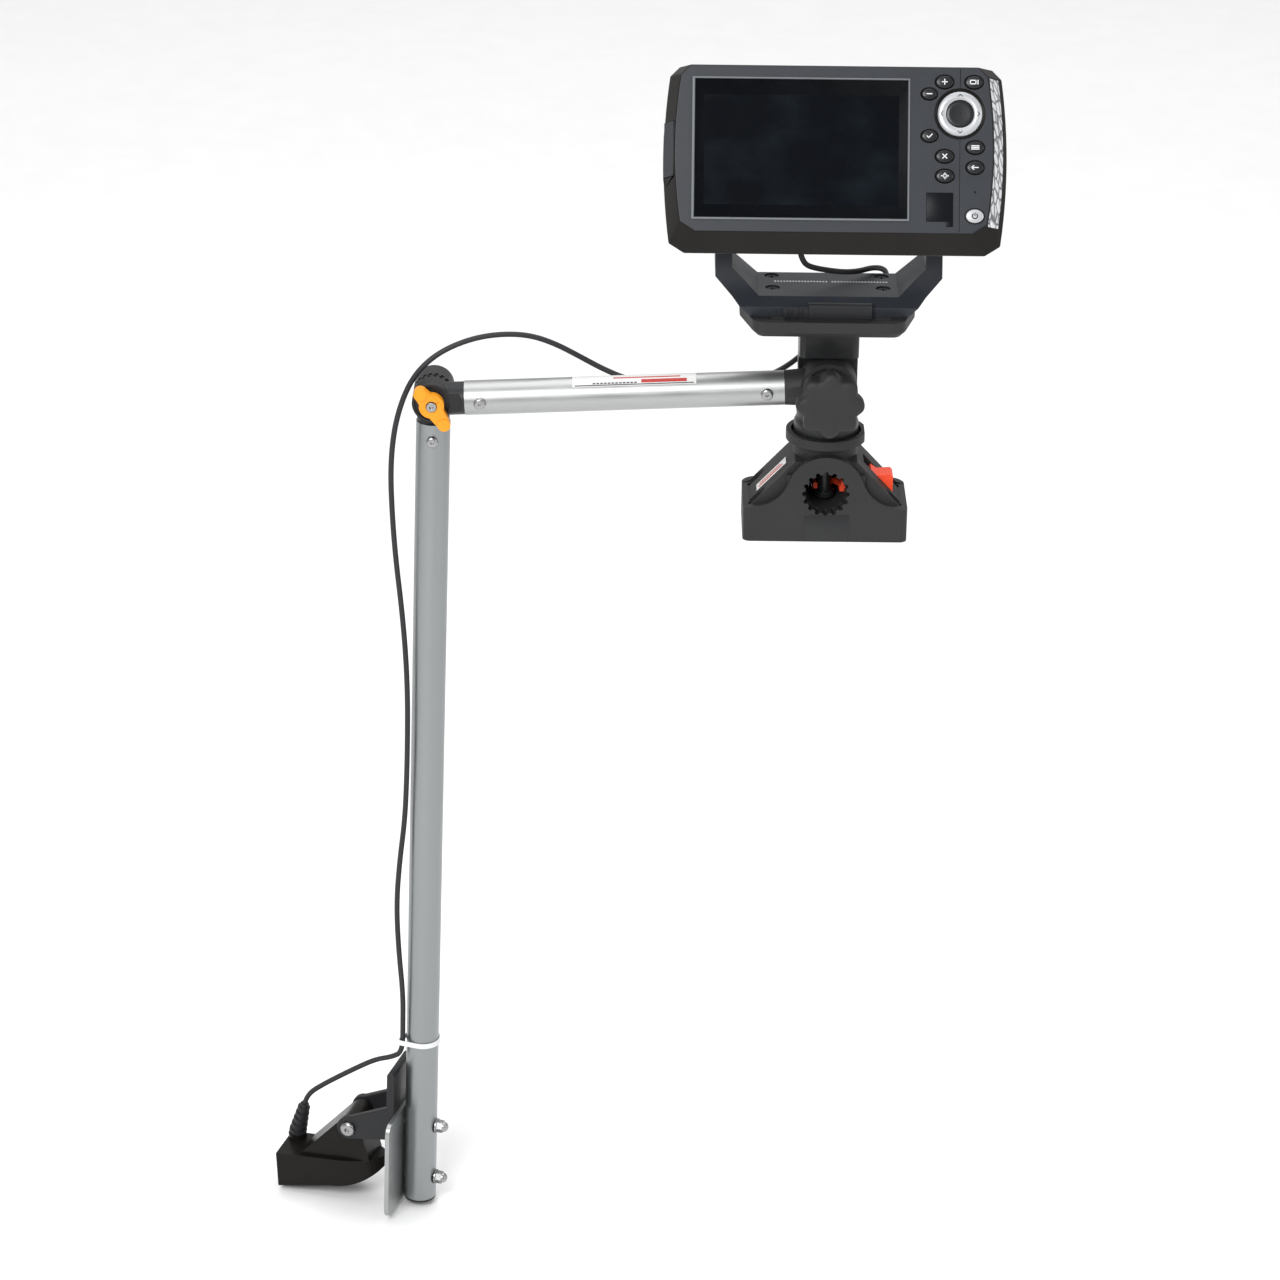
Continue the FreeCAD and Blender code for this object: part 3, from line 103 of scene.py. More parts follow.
def surfaceNoise(tree, scale, detail=4.0, stretch=(1, 1, 1)):
    coordinates = addNode(tree, "ShaderNodeTexCoord")
    mapping = addNode(tree, "ShaderNodeMapping")
    mapping.inputs["Scale"].default_value = stretch
    noise = addNode(tree, "ShaderNodeTexNoise")
    noise.inputs["Scale"].default_value = scale
    noise.inputs["Detail"].default_value = detail
    tree.links.new(coordinates.outputs["Object"], mapping.inputs["Vector"])
    tree.links.new(mapping.outputs["Vector"], noise.inputs["Vector"])
    return noise.outputs["Fac"]


def spread(tree, source, low, high, start=0.3, end=0.7):
    span = addNode(tree, "ShaderNodeMapRange")
    for key, value in (("From Min", start), ("From Max", end), ("To Min", low), ("To Max", high)):
        span.inputs[key].default_value = value
    tree.links.new(source, span.inputs["Value"])
    return span.outputs["Result"]


def colourBetween(tree, source, dark, light, start=0.3, end=0.7):
    ramp = addNode(tree, "ShaderNodeValToRGB")
    ramp.color_ramp.elements[0].position = start
    ramp.color_ramp.elements[0].color = (*dark, 1)
    ramp.color_ramp.elements[1].position = end
    ramp.color_ramp.elements[1].color = (*light, 1)
    tree.links.new(source, ramp.inputs["Fac"])
    return ramp.outputs["Color"]


def moulded(name, colour, rough, grain=1400.0, depth=0.25, vary=0.12, coat=0.0, metal=0.0, stretch=(1, 1, 1),
            gloss=0.3):
    material, tree, shader = newMaterial(name)
    patches = surfaceNoise(tree, 28.0, 5.0)
    fine = surfaceNoise(tree, grain, 3.0, stretch)
    dark = [c * (1 - vary) for c in colour]
    light = [min(1.0, c * (1 + vary)) for c in colour]
    tree.links.new(colourBetween(tree, patches, dark, light), shader.inputs["Base Color"])
    tree.links.new(spread(tree, patches, max(0.02, rough - 0.06), rough + 0.08), shader.inputs["Roughness"])
    shader.inputs["Metallic"].default_value = metal
    shader.inputs["Specular IOR Level"].default_value = gloss
    shader.inputs["Coat Weight"].default_value = coat
    shader.inputs["Coat Roughness"].default_value = 0.12
    bump = addNode(tree, "ShaderNodeBump")
    bump.inputs["Strength"].default_value = depth
    bump.inputs["Distance"].default_value = 0.0002
    tree.links.new(fine, bump.inputs["Height"])
    tree.links.new(bump.outputs["Normal"], shader.inputs["Normal"])
    return material


def scaleStrip(name):
    material, tree, shader = newMaterial(name)
    coordinates = addNode(tree, "ShaderNodeTexCoord")
    mapping = addNode(tree, "ShaderNodeMapping")
    mapping.inputs["Scale"].default_value = (1.0, 1.0, 0.42)
    cells = addNode(tree, "ShaderNodeTexVoronoi", feature="DISTANCE_TO_EDGE")
    cells.inputs["Scale"].default_value = 270.0
    tree.links.new(coordinates.outputs["Object"], mapping.inputs["Vector"])
    tree.links.new(mapping.outputs["Vector"], cells.inputs["Vector"])
    colour = colourBetween(tree, cells.outputs["Distance"], (0.10, 0.105, 0.11), (0.62, 0.63, 0.65), 0.03, 0.16)
    tree.links.new(colour, shader.inputs["Base Color"])
    tree.links.new(spread(tree, cells.outputs["Distance"], 0.5, 0.28, 0.0, 0.3), shader.inputs["Roughness"])
    bump = addNode(tree, "ShaderNodeBump")
    bump.inputs["Strength"].default_value = 0.5
    bump.inputs["Distance"].default_value = 0.0003
    tree.links.new(cells.outputs["Distance"], bump.inputs["Height"])
    tree.links.new(bump.outputs["Normal"], shader.inputs["Normal"])
    return material


def glassPanel(name):
    material, tree, shader = newMaterial(name)
    haze = surfaceNoise(tree, 22.0, 5.0, (1, 0.4, 1.6))
    tree.links.new(colourBetween(tree, haze, (0.0012, 0.002, 0.0035), (0.005, 0.009, 0.013), 0.45, 0.8),
                   shader.inputs["Base Color"])
    tree.links.new(spread(tree, haze, 0.10, 0.2), shader.inputs["Roughness"])
    shader.inputs["Specular IOR Level"].default_value = 0.1
    return material


looks = {
    "charcoal_plastic": moulded("charcoalGrain", (0.019, 0.0192, 0.020), 0.55, 1500.0, 0.65),
    "arm_black": moulded("jointBlack", (0.014, 0.0145, 0.016), 0.42, 1800.0, 0.3),
    "case_black": moulded("caseSatin", (0.019, 0.022, 0.028), 0.42, 2600.0, 0.35),
    "gloss_black": moulded("glossBlack", (0.0075, 0.0066, 0.0058), 0.3, 500.0, 0.04, 0.2, gloss=0.15),
    "aluminium": moulded("brushedPlate", (0.38, 0.39, 0.39), 0.38, 420.0, 0.2, 0.04, 0.0, 0.9, (1, 1, 14)),
    "steel": moulded("brightSteel", (0.34, 0.34, 0.345), 0.28, 900.0, 0.1, 0.06, 0.0, 1.0),
    "black_steel": moulded("blackenedSteel", (0.012, 0.012, 0.013), 0.4, 900.0, 0.1, 0.06),
    "orange_lever": moulded("orangeMoulding", (0.80, 0.29, 0.012), 0.38, 900.0, 0.12, 0.06),
    "red_lock": moulded("redMoulding", (0.86, 0.075, 0.025), 0.4, 1100.0, 0.15, 0.07),
    "lip_grey": moulded("lipGrey", (0.13, 0.14, 0.15), 0.35, 2200.0, 0.15, 0.06),
    "screen_glass": glassPanel("darkScreen"),
    "panel": moulded("panelBlack", (0.004, 0.005, 0.007), 0.3, 700.0, 0.05, gloss=0.1),
    "silver_plastic": moulded("silverRing", (0.44, 0.45, 0.465), 0.36, 1600.0, 0.1, 0.05, 0.0, 0.35),
    "key_rubber": moulded("keyRubber", (0.010, 0.0105, 0.013), 0.34, 1500.0, 0.12, 0.1, 0.12),
    "seal_rubber": moulded("sealRubber", (0.018, 0.018, 0.02), 0.55, 1300.0, 0.3),
    "board": moulded("boardGreen", (0.02, 0.10, 0.04), 0.45, 900.0, 0.2),
    "clear_tie": moulded("nylonTie", (0.72, 0.74, 0.74), 0.38, 900.0, 0.1, 0.05, 0.2),
    "lead_rubber": moulded("leadJacket", (0.022, 0.0225, 0.025), 0.5, 1800.0, 0.25),
}
armMetal = moulded("armAnodised", (0.40, 0.405, 0.405), 0.36, 650.0, 0.16, 0.03, 0.0, 0.95, (0.05, 1, 1))
# painted shade: the mast is the same aluminium as the arm, given a darker colour to stand in for the shade on the
# upright tube
shadedMastMetal = moulded("mastAnodisedShaded", (0.29, 0.305, 0.31), 0.36, 650.0, 0.16, 0.03, 0.0, 0.95, (1, 1, 0.05))
postShell = moulded("postShell", (0.012, 0.0125, 0.0135), 0.34, 1500.0, 0.2, 0.12, 0.1)
iconWhite = moulded("iconWhite", (0.66, 0.67, 0.68), 0.5, 1200.0, 0.08, 0.05)
iconBlack = moulded("iconBlack", (0.03, 0.03, 0.035), 0.45, 1200.0, 0.08, 0.05)
labelWhite = moulded("labelWhite", (0.62, 0.62, 0.61), 0.42, 700.0, 0.06, 0.03, 0.15)
labelRed = moulded("labelRed", (0.40, 0.035, 0.03), 0.45, 700.0, 0.06, 0.08)
labelGrey = moulded("labelGrey", (0.06, 0.06, 0.065), 0.5, 700.0, 0.06, 0.08)
stripSilver = scaleStrip("scaleStrip")
floorPaint = moulded("paleFloor", (0.86, 0.86, 0.86), 0.7, 40.0, 0.02, 0.01)
print("materials ready")


# Pieces
def finishPiece(name, mesh, material, body, weighted=True):
    piece = bpy.data.objects.new(name, mesh)
    bpy.context.collection.objects.link(piece)
    if material is not None:
        mesh.materials.append(material)
    mesh.shade_smooth()
    mesh.set_sharp_from_angle(angle=math.radians(50))
    if weighted:
        normals = piece.modifiers.new("weightedNormals", "WEIGHTED_NORMAL")
        normals.keep_sharp = True
    if body:
        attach(piece, body)
    return piece


def pieceFrom(name, shape, place, material, body, weighted=True):
    bmesh.ops.transform(shape, matrix=place, verts=shape.verts)
    bmesh.ops.recalc_face_normals(shape, faces=shape.faces)
    mesh = bpy.data.meshes.new(name)
    shape.to_mesh(mesh)
    shape.free()
    return finishPiece(name, mesh, material, body, weighted)


def cleanCopy(node):
    shape = bmesh.new()
    shape.from_mesh(frame["nodes"][node].data)
    bmesh.ops.remove_doubles(shape, verts=shape.verts, dist=2e-6)
    bmesh.ops.dissolve_limit(shape, angle_limit=math.radians(0.6), verts=shape.verts, edges=shape.edges)
    return shape


def softened(node, width, body, slotName, material=None, segments=2):
    shape = cleanCopy(node)
    edges = [e for e in shape.edges if e.is_manifold and e.calc_face_angle(0) > math.radians(35)]
    if width:
        bmesh.ops.bevel(shape, geom=edges, offset=width * mm, offset_type="OFFSET", segments=segments, profile=0.5,
                        affect="EDGES", material=-1, clamp_overlap=True)
    mesh = bpy.data.meshes.new(node + "Soft")
    shape.to_mesh(mesh)
    shape.free()
    piece = finishPiece(node + "Soft", mesh, material or looks[slotName], body)
    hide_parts(node)
    return piece


slotOf = {part["node"]: part["material_slot"] for part in frame["record"]["subparts"]}
bodyOf = {node: body for body, nodes in frame["record"]["behaviour"]["bodies"].items() for node in nodes}

edgeWidths = {
    "base_housing": 0.8, "lock_button": 0.7, "shoulder_bolt": 0.3, "arm_hub": 0.8, "arm_elbow": 0.5,
    "elbow_lever": 1.0, "mast_elbow": 0.5, "arm_screws": 0.15, "elbow_bolt": 0.2, "elbow_nut": 0.3,
    "mast_screw": 0.15, "mast_end_plug": 0.3, "cable_tie": 0.25, "foot_plate": 0.5, "foot_bolts": 0.3,
    "acorn_nuts": 0.3, "transducer_bracket": 0.9, "hinge_bolt": 0.2, "hinge_nut": 0.3,
    "transducer_body": 1.0, "transducer_boot": 0.3, "platform_plate": 0.9, "platform_screws": 0.15,
    "gimbal_bracket": 0.9, "bracket_screws": 0.2, "catch_block": 0.3, "rear_case": 1.0, "card_door": 0.3,
    "lead_plug": 0.4, "gimbal_knob_left": 0.7, "gimbal_knob_right": 0.7, "lock_spring": 0,
    "knob_insert": 0.2,
}
for node, width in edgeWidths.items():
    softened(node, width, bodyOf[node], slotOf[node])
softened("post", 0.9, "post", "gloss_black", postShell)
softened("arm_tube", 0.3, "arm", "aluminium", armMetal)
# the mast tube takes the darkened aluminium, which is painted shade
softened("mast_tube", 0.3, "mast", "aluminium", shadedMastMetal)
for node in ("transducer_element", "screen_panel", "main_board", "keypad_mat", "case_gasket"):
    mesh = frame["nodes"][node].data
    mesh.materials.clear()
    mesh.materials.append(looks[slotOf[node]])
print("frame nodes finished")


# Star knob
# face and side are rings going in and back from the rim: share of the radius, depth behind the rim
knob = {
    "radius": 21.6, "lobes": 8, "dip": 3.4, "front": -50.4,
    "face": ((0.975, -1.0), (0.92, -2.0), (0.82, -2.6), (0.6, -2.9), (0.3, -3.0), (0.04, -3.0)),
    "side": ((1.01, 2.0), (1.0, 8.0), (0.96, 12.0), (0.84, 15.5), (0.66, 18.5), (0.60, 24.6)),
}


def starKnob():
    shape = bmesh.new()
    ring = bmesh.ops.create_circle(shape, segments=128, radius=1.0)["verts"]
    for vert in ring:
        angle = math.atan2(vert.co.x, vert.co.y)
        wave = 0.5 + 0.5 * math.cos(knob["lobes"] * angle)
        vert.co *= knob["radius"] - knob["dip"] * (1 - wave) ** 1.3
    rim = list(shape.edges)
    for steps in (knob["face"], knob["side"]):
        edges = rim
        last, depth = 1.0, 0.0
        for share, away in steps:
            made = bmesh.ops.extrude_edge_only(shape, edges=edges)["geom"]
            verts = [g for g in made if isinstance(g, bmesh.types.BMVert)]
            edges = [g for g in made if isinstance(g, bmesh.types.BMEdge)]
            bmesh.ops.scale(shape, vec=(share / last, share / last, 1), verts=verts)
            bmesh.ops.translate(shape, vec=(0, 0, depth - away), verts=verts)
            last, depth = share, away
        bmesh.ops.contextual_create(shape, geom=edges)
    bmesh.ops.scale(shape, vec=(mm, mm, mm), verts=shape.verts)
    place = moved(0, knob["front"], places["shoulderHeight"]) @ turned(90, "X")
    piece = pieceFrom("starKnobSoft", shape, place, looks["charcoal_plastic"], "knob", False)
    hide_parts("star_knob")


starKnob()


# Screen unit
case = {"halfWidth": 94.75, "windowX": -20.5, "windowWidth": 134.0, "windowHeight": 88.0}


def frontCase():
    shape = cleanCopy("front_case")
    inverse = faceFrame.inverted()
    edges = []
    for edge in shape.edges:
        middle = inverse @ ((edge.verts[0].co + edge.verts[1].co) / 2)
        beside = abs(middle.x - case["windowX"] * mm) > (case["windowWidth"] / 2 + 0.5) * mm
        outside = beside or abs(middle.y) > 45 * mm
        if edge.is_manifold and edge.calc_face_angle(0) > math.radians(12) and outside:
            edges.append(edge)
    bmesh.ops.bevel(shape, geom=edges, offset=0.7 * mm, offset_type="OFFSET", segments=3, profile=0.5,
                    affect="EDGES", material=-1, clamp_overlap=False)
    for face in shape.faces:
        middle = inverse @ face.calc_center_median()
        normal = inverse.to_3x3() @ face.normal
        face.material_index = 0 if normal.z > 0.93 or (middle.z < -27 * mm) else 1
    mesh = bpy.data.meshes.new("frontCaseSoft")
    shape.to_mesh(mesh)
    shape.free()
    piece = finishPiece("frontCaseSoft", mesh, looks["case_black"], "screen")
    mesh.materials.append(looks["gloss_black"])
    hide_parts("front_case")


strip = {"back": -9.5, "front": -0.8, "low": -47.0, "high": 45.0, "thickness": 0.3}


def flankStrip():
    shape = cleanCopy("front_case")
    inverse = faceFrame.inverted()
    bmesh.ops.transform(shape, matrix=inverse, verts=shape.verts)
    cuts = (
        ((0, 0, strip["back"]), (0, 0, -1)),
        ((0, 0, strip["front"]), (0, 0, 1)),
        ((0, strip["low"], 0), (0, -1, 0)),
        ((0, strip["high"], 0), (0, 1, 0)),
    )
    for point, outward in cuts:
        everything = shape.verts[:] + shape.edges[:] + shape.faces[:]
        bmesh.ops.bisect_plane(shape, geom=everything, plane_co=Vector(point) * mm, plane_no=outward,
                               clear_outer=True)
    drop = [f for f in shape.faces if f.calc_center_median().x < case["halfWidth"] * mm or f.normal.x < 0.4]
    bmesh.ops.delete(shape, geom=drop, context="FACES")
    bmesh.ops.translate(shape, vec=(0.25 * mm, 0, 0.1 * mm), verts=shape.verts)
    bmesh.ops.solidify(shape, geom=shape.faces[:], thickness=strip["thickness"] * mm)
    pieceFrom("flankStrip", shape, faceFrame, stripSilver, "screen", False)


def box(shape, low, high, radius=0.0, segments=2):
    made = bmesh.ops.create_cube(shape, size=1.0)["verts"]
    size = [(b - a) * mm for a, b in zip(low, high)]
    middle = [(a + b) / 2 * mm for a, b in zip(low, high)]
    bmesh.ops.scale(shape, vec=size, verts=made)
    bmesh.ops.translate(shape, vec=middle, verts=made)
    if radius:
        edges = {e for v in made for e in v.link_edges}
        bmesh.ops.bevel(shape, geom=list(edges), offset=radius * mm, offset_type="OFFSET", segments=segments,
                        profile=0.5, affect="EDGES", material=-1)
    return shape


def windowSurround():
    half = case["windowWidth"] / 2
    tall = case["windowHeight"] / 2
    x = case["windowX"]
    # rectangles from outside to inside: left, right, low, high, height
    steps = ((x - half, x + half, -tall, tall, -0.2), (x - half, x + half, -tall, tall, 0.75),
             (x - half + 1.1, x + half - 0.6, -tall + 0.8, tall - 0.6, 0.75),
             (x - half + 1.5, x + half - 1.0, -tall + 1.2, tall - 0.9, 0.2))
    slopes = ((x - half + 1.5, x + half - 1.0, -tall + 1.2, tall - 0.9, 0.2),
              (x - half + 7.3, x + half - 6.4, -tall + 9.4, tall - 10.4, -2.0))
    for name, rings, material, slotName in (("windowLip", steps, looks["lip_grey"], "lip_grey"),
                                            ("windowSlopes", slopes, looks["panel"], "panel")):
        shape = bmesh.new()
        verts = bmesh.ops.create_grid(shape, x_segments=1, y_segments=1, size=0.5)["verts"]
        bmesh.ops.delete(shape, geom=shape.faces[:], context="FACES_ONLY")
        edges = shape.edges[:]
        fit(shape, verts, rings[0])
        for ring in rings[1:]:
            made = bmesh.ops.extrude_edge_only(shape, edges=edges)["geom"]
            verts = [g for g in made if isinstance(g, bmesh.types.BMVert)]
            edges = [g for g in made if isinstance(g, bmesh.types.BMEdge)]
            fit(shape, verts, ring)
        bmesh.ops.solidify(shape, geom=shape.faces[:], thickness=0.12 * mm)
        piece = pieceFrom(name, shape, faceFrame, material, "screen")
        if name == "windowLip":
            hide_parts("screen_frame")
    low, high = (slopes[1][0] - 0.2, slopes[1][2] - 0.2, -2.6), (slopes[1][1] + 0.2, slopes[1][3] + 0.2, -2.0)
    glass = pieceFrom("screenGlassSoft", box(bmesh.new(), low, high), faceFrame, looks["screen_glass"], "screen",
                      False)
    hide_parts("screen_glass")


def fit(shape, verts, ring):
    left, right, low, high, height = ring
    middle = sum((v.co for v in verts), Vector()) / len(verts)
    for vert in verts:
        x = right if vert.co.x > middle.x else left
        y = high if vert.co.y > middle.y else low
        vert.co = Vector((x, y, height)) * mm


frontCase()
flankStrip()
windowSurround()


# Keys
keys = {
    "key_plus": (67.9, 42.4, 5.4, 3.9), "key_minus": (58.5, 34.9, 4.7, 3.4), "key_view": (86.1, 42.4, 5.4, 3.9),
    "key_check": (58.8, 8.8, 4.9, 3.6), "key_menu": (87.1, 1.9, 5.5, 3.9), "key_mark": (68.3, -3.7, 5.5, 3.9),
    "key_exit": (87.1, -10.5, 5.3, 3.9), "key_goto": (68.5, -15.9, 5.5, 3.9), "key_power": (87.2, -40.6, 5.5, 4.2),
}
# strokes of each key's mark, as x0, y0, x1, y1 in millimetres from the key's centre
marks = {
    "key_plus": ((-1.5, 0, 1.5, 0), (0, -1.5, 0, 1.5)),
    "key_minus": ((-1.5, 0, 1.5, 0),),
    "key_view": ((-2.4, -1.1, 1.0, -1.1), (-2.4, 1.1, 1.0, 1.1), (-2.4, -1.1, -2.4, 1.1), (1.0, -1.1, 1.0, 1.1),
                 (2.3, -1.1, 2.3, 1.1)),
    "key_check": ((-1.5, -0.1, -0.4, -1.1), (-0.4, -1.1, 1.6, 1.1)),
    "key_menu": ((-2.2, 1.0, 2.2, 1.0), (-2.2, 0, 2.2, 0), (-2.2, -1.0, 2.2, -1.0)),
    "key_mark": ((-1.2, -1.2, 1.2, 1.2), (-1.2, 1.2, 1.2, -1.2)),
    "key_exit": ((-2.2, 0, 1.8, 0), (-2.2, 0, -0.9, 1.1), (-2.2, 0, -0.9, -1.1)),
    "key_goto": ((0, 0.8, 0, 1.7), (0, -0.8, 0, -1.7), (0.9, 0, 2.1, 0), (-0.9, 0, -2.1, 0)),
    "key_power": ((0, 0.3, 0, 1.8),),
}
stroke = {"width": 0.62, "height": 0.22, "topOfKey": 0.98}


def domedOval(shape, rx, ry, bottom, rim, crown):
    ring = bmesh.ops.create_circle(shape, segments=56, radius=1.0)["verts"]
    bmesh.ops.scale(shape, vec=(rx * mm, ry * mm, 1), verts=ring)
    bmesh.ops.translate(shape, vec=(0, 0, bottom * mm), verts=ring)
    edges = shape.edges[:]
    last, height = 1.0, bottom
    rise = crown - rim
    steps = ((1.0, rim), (0.97, rim + 0.30 * rise), (0.90, rim + 0.58 * rise), (0.76, rim + 0.80 * rise),
             (0.5, rim + 0.95 * rise))
    for share, level in steps:
        made = bmesh.ops.extrude_edge_only(shape, edges=edges)["geom"]
        verts = [g for g in made if isinstance(g, bmesh.types.BMVert)]
        edges = [g for g in made if isinstance(g, bmesh.types.BMEdge)]
        bmesh.ops.scale(shape, vec=(share / last, share / last, 1), verts=verts)
        bmesh.ops.translate(shape, vec=(0, 0, (level - height) * mm), verts=verts)
        last, height = share, level
    bmesh.ops.contextual_create(shape, geom=edges)
    return shape


def strokeShape(shape, x0, y0, x1, y1, width, level, height):
    length = math.hypot(x1 - x0, y1 - y0) + width
    made = bmesh.ops.create_cube(shape, size=1.0)["verts"]
    bmesh.ops.scale(shape, vec=(length * mm, width * mm, height * mm), verts=made)
    turn = Matrix.Rotation(math.atan2(y1 - y0, x1 - x0), 4, "Z")
    place = moved((x0 + x1) / 2, (y0 + y1) / 2, level) @ turn
    bmesh.ops.transform(shape, matrix=place, verts=made)


def arcStrokes(radius, start, end, count):
    points = []
    for i in range(count + 1):
        angle = math.radians(start + (end - start) * i / count)
        points.append((radius * math.cos(angle), radius * math.sin(angle)))
    return [(*a, *b) for a, b in zip(points, points[1:])]


def keyPieces():
    for name, (x, y, rx, ry) in keys.items():
        silver = name == "key_power"
        slotName = "silver_plastic" if silver else "key_rubber"
        place = faceFrame @ moved(x, y, 0)
        cap = pieceFrom(name + "Cap", domedOval(bmesh.new(), rx, ry, -3.2, 0.1, 1.0), place, looks[slotName], name,
                        False)
        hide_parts(name)
        shape = bmesh.new()
        lines = list(marks[name])
        if silver:
            lines += arcStrokes(1.6, -230, 50, 14)
        if name == "key_goto":
            lines += arcStrokes(1.15, 0, 360, 16)
        for line in lines:
            strokeShape(shape, *line, stroke["width"], stroke["topOfKey"], stroke["height"])
        pieceFrom(name + "Mark", shape, place, iconBlack if silver else iconWhite, name, False)
        # dark groove round the cap
        groove = bmesh.new()
        edge = bmesh.ops.create_circle(groove, segments=56, radius=1.0)["verts"]
        bmesh.ops.scale(groove, vec=((rx + 0.75) * mm, (ry + 0.75) * mm, 1), verts=edge)
        made = bmesh.ops.extrude_edge_only(groove, edges=groove.edges[:])["geom"]
        inner = [g for g in made if isinstance(g, bmesh.types.BMVert)]
        bmesh.ops.scale(groove, vec=((rx + 0.2) / (rx + 0.75), (ry + 0.2) / (ry + 0.75), 1), verts=inner)
        bmesh.ops.translate(groove, vec=(0, 0, -0.35 * mm), verts=inner)
        bmesh.ops.solidify(groove, geom=groove.faces[:], thickness=0.15 * mm)
        pieceFrom(name + "Groove", groove, place @ moved(0, 0, 0.12), looks["gloss_black"], "screen",
                  False)


pad = {"x": 77.6, "y": 22.7, "radius": 13.8, "inner": 8.7}


def spunProfile(points, steps=72):
    shape = bmesh.new()
    verts = [shape.verts.new((r * mm, 0, z * mm)) for r, z in points]
    edges = [shape.edges.new(pair) for pair in zip(verts, verts[1:])]
    bmesh.ops.spin(shape, geom=verts + edges, axis=(0, 0, 1), cent=(0, 0, 0), dvec=(0, 0, 0), angle=math.tau,
                   steps=steps, use_merge=True)
    bmesh.ops.remove_doubles(shape, verts=shape.verts, dist=1e-6)
    return shape


def navigationPad():
    place = faceFrame @ moved(pad["x"], pad["y"], 0)
    inner, outer = pad["inner"], pad["radius"]
    ring = spunProfile(((inner, -3.0), (inner, 0.5), (inner + 0.6, 0.95), (inner + 1.6, 1.25), (outer - 1.6, 1.1),
                        (outer - 0.5, 0.7), (outer, 0.1), (outer, -3.0), (inner, -3.0)))
    piece = pieceFrom("navRing", ring, place, looks["silver_plastic"], "nav", False)
    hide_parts("nav_pad")
    disc = spunProfile(((0, -3.0), (inner - 0.35, -3.0), (inner - 0.35, 0.1), (inner - 1.0, 0.45),
                        (inner - 3.0, 0.25), (0, 0.05)))
    pieceFrom("navDisc", disc, place, looks["key_rubber"], "nav", False)
    halo = spunProfile(((inner - 0.36, -0.4), (inner - 0.02, -0.4), (inner - 0.02, 0.62), (inner - 0.36, 0.5),
                        (inner - 0.36, -0.4)))
    pieceFrom("navHalo", halo, place, looks["gloss_black"], "nav", False)
    well = spunProfile(((outer + 0.3, -0.7), (outer + 1.5, -0.7), (outer + 1.7, 0.12), (outer + 0.3, -0.5),
                        (outer + 0.3, -0.7)))
    pieceFrom("navWell", well, place, looks["gloss_black"], "screen", False)
    chevrons = bmesh.new()
    reach = (inner + outer) / 2 + 0.1
    for quarter in range(4):
        turn = math.radians(90 * quarter)
        for side in (-1, 1):
            ends = ((reach + 0.55, 0), (reach - 0.55, side * 1.3))
            turnedEnds = [(x * math.cos(turn) - y * math.sin(turn), x * math.sin(turn) + y * math.cos(turn))
                          for x, y in ends]
            strokeShape(chevrons, *turnedEnds[0], *turnedEnds[1], 0.5, 1.22, 0.16)
    pieceFrom("navChevrons", chevrons, place, iconBlack, "nav", False)


def faceDetails():
    badge = box(bmesh.new(), (57.2, -44.3, -0.2), (73.8, -26.2, 0.32), 0.3)
    box(badge, (69.4, -47.4, -0.2), (73.8, -43.9, 0.32), 0.3)
    pieceFrom("blankBadge", badge, faceFrame, looks["panel"], "screen", False)
    lamp = spunProfile(((0.0, 0.25), (0.5, 0.2), (0.75, 0.0), (0.75, -0.3), (0, -0.3)), 24)
    lampPlace = faceFrame @ moved(87.3, -25.7, 0)
    pieceFrom("statusLamp", lamp, lampPlace, looks["gloss_black"], "screen", False)
    seam = box(bmesh.new(), (77.35, -50.6, -0.2), (77.8, 50.6, 0.07), 0.05)
    pieceFrom("panelSeam", seam, faceFrame, looks["gloss_black"], "screen", False)


keyPieces()
navigationPad()
faceDetails()
print("screen unit finished")


# Bracket marks, labels and stickers
dashes = {"count": 38, "start": -35.0, "end": 35.6, "y": 0.2, "z": 167.5}


def bracketMarks():
    shape = bmesh.new()
    for i in range(dashes["count"]):
        x = dashes["start"] + (dashes["end"] - dashes["start"]) * i / (dashes["count"] - 1)
        if abs(x) > 0.8:
            box(shape, (x - 0.5, dashes["y"] - 1.0, dashes["z"] - 0.1),
                (x + 0.5, dashes["y"] + 1.0, dashes["z"] + 0.12))
    pieceFrom("bracketMarks", shape, Matrix.Identity(4), iconWhite, "post", False)


def wrapPatch(x0, x1, low, high, lift, thickness=0.08):
    shape = bmesh.new()
    radius = (11.1 + lift) * mm
    ends = [shape.verts.new((x * mm, -radius * math.cos(math.radians(low)), radius * math.sin(math.radians(low))))
            for x in (x0, x1)]
    edge = shape.edges.new(ends)
    bmesh.ops.spin(shape, geom=ends + [edge], axis=(1, 0, 0), cent=(0, 0, 0), dvec=(0, 0, 0),
                   angle=-math.radians(high - low), steps=max(2, int((high - low) / 5)))
    bmesh.ops.recalc_face_normals(shape, faces=shape.faces)
    if shape.faces[0].calc_center_median().yz.dot(shape.faces[0].normal.yz) < 0:
        bmesh.ops.reverse_faces(shape, faces=shape.faces)
    bmesh.ops.solidify(shape, geom=shape.faces[:], thickness=-thickness * mm)
    return shape


armLabel = {"left": -163.0, "right": -84.0, "low": 43.0, "high": 150.0}


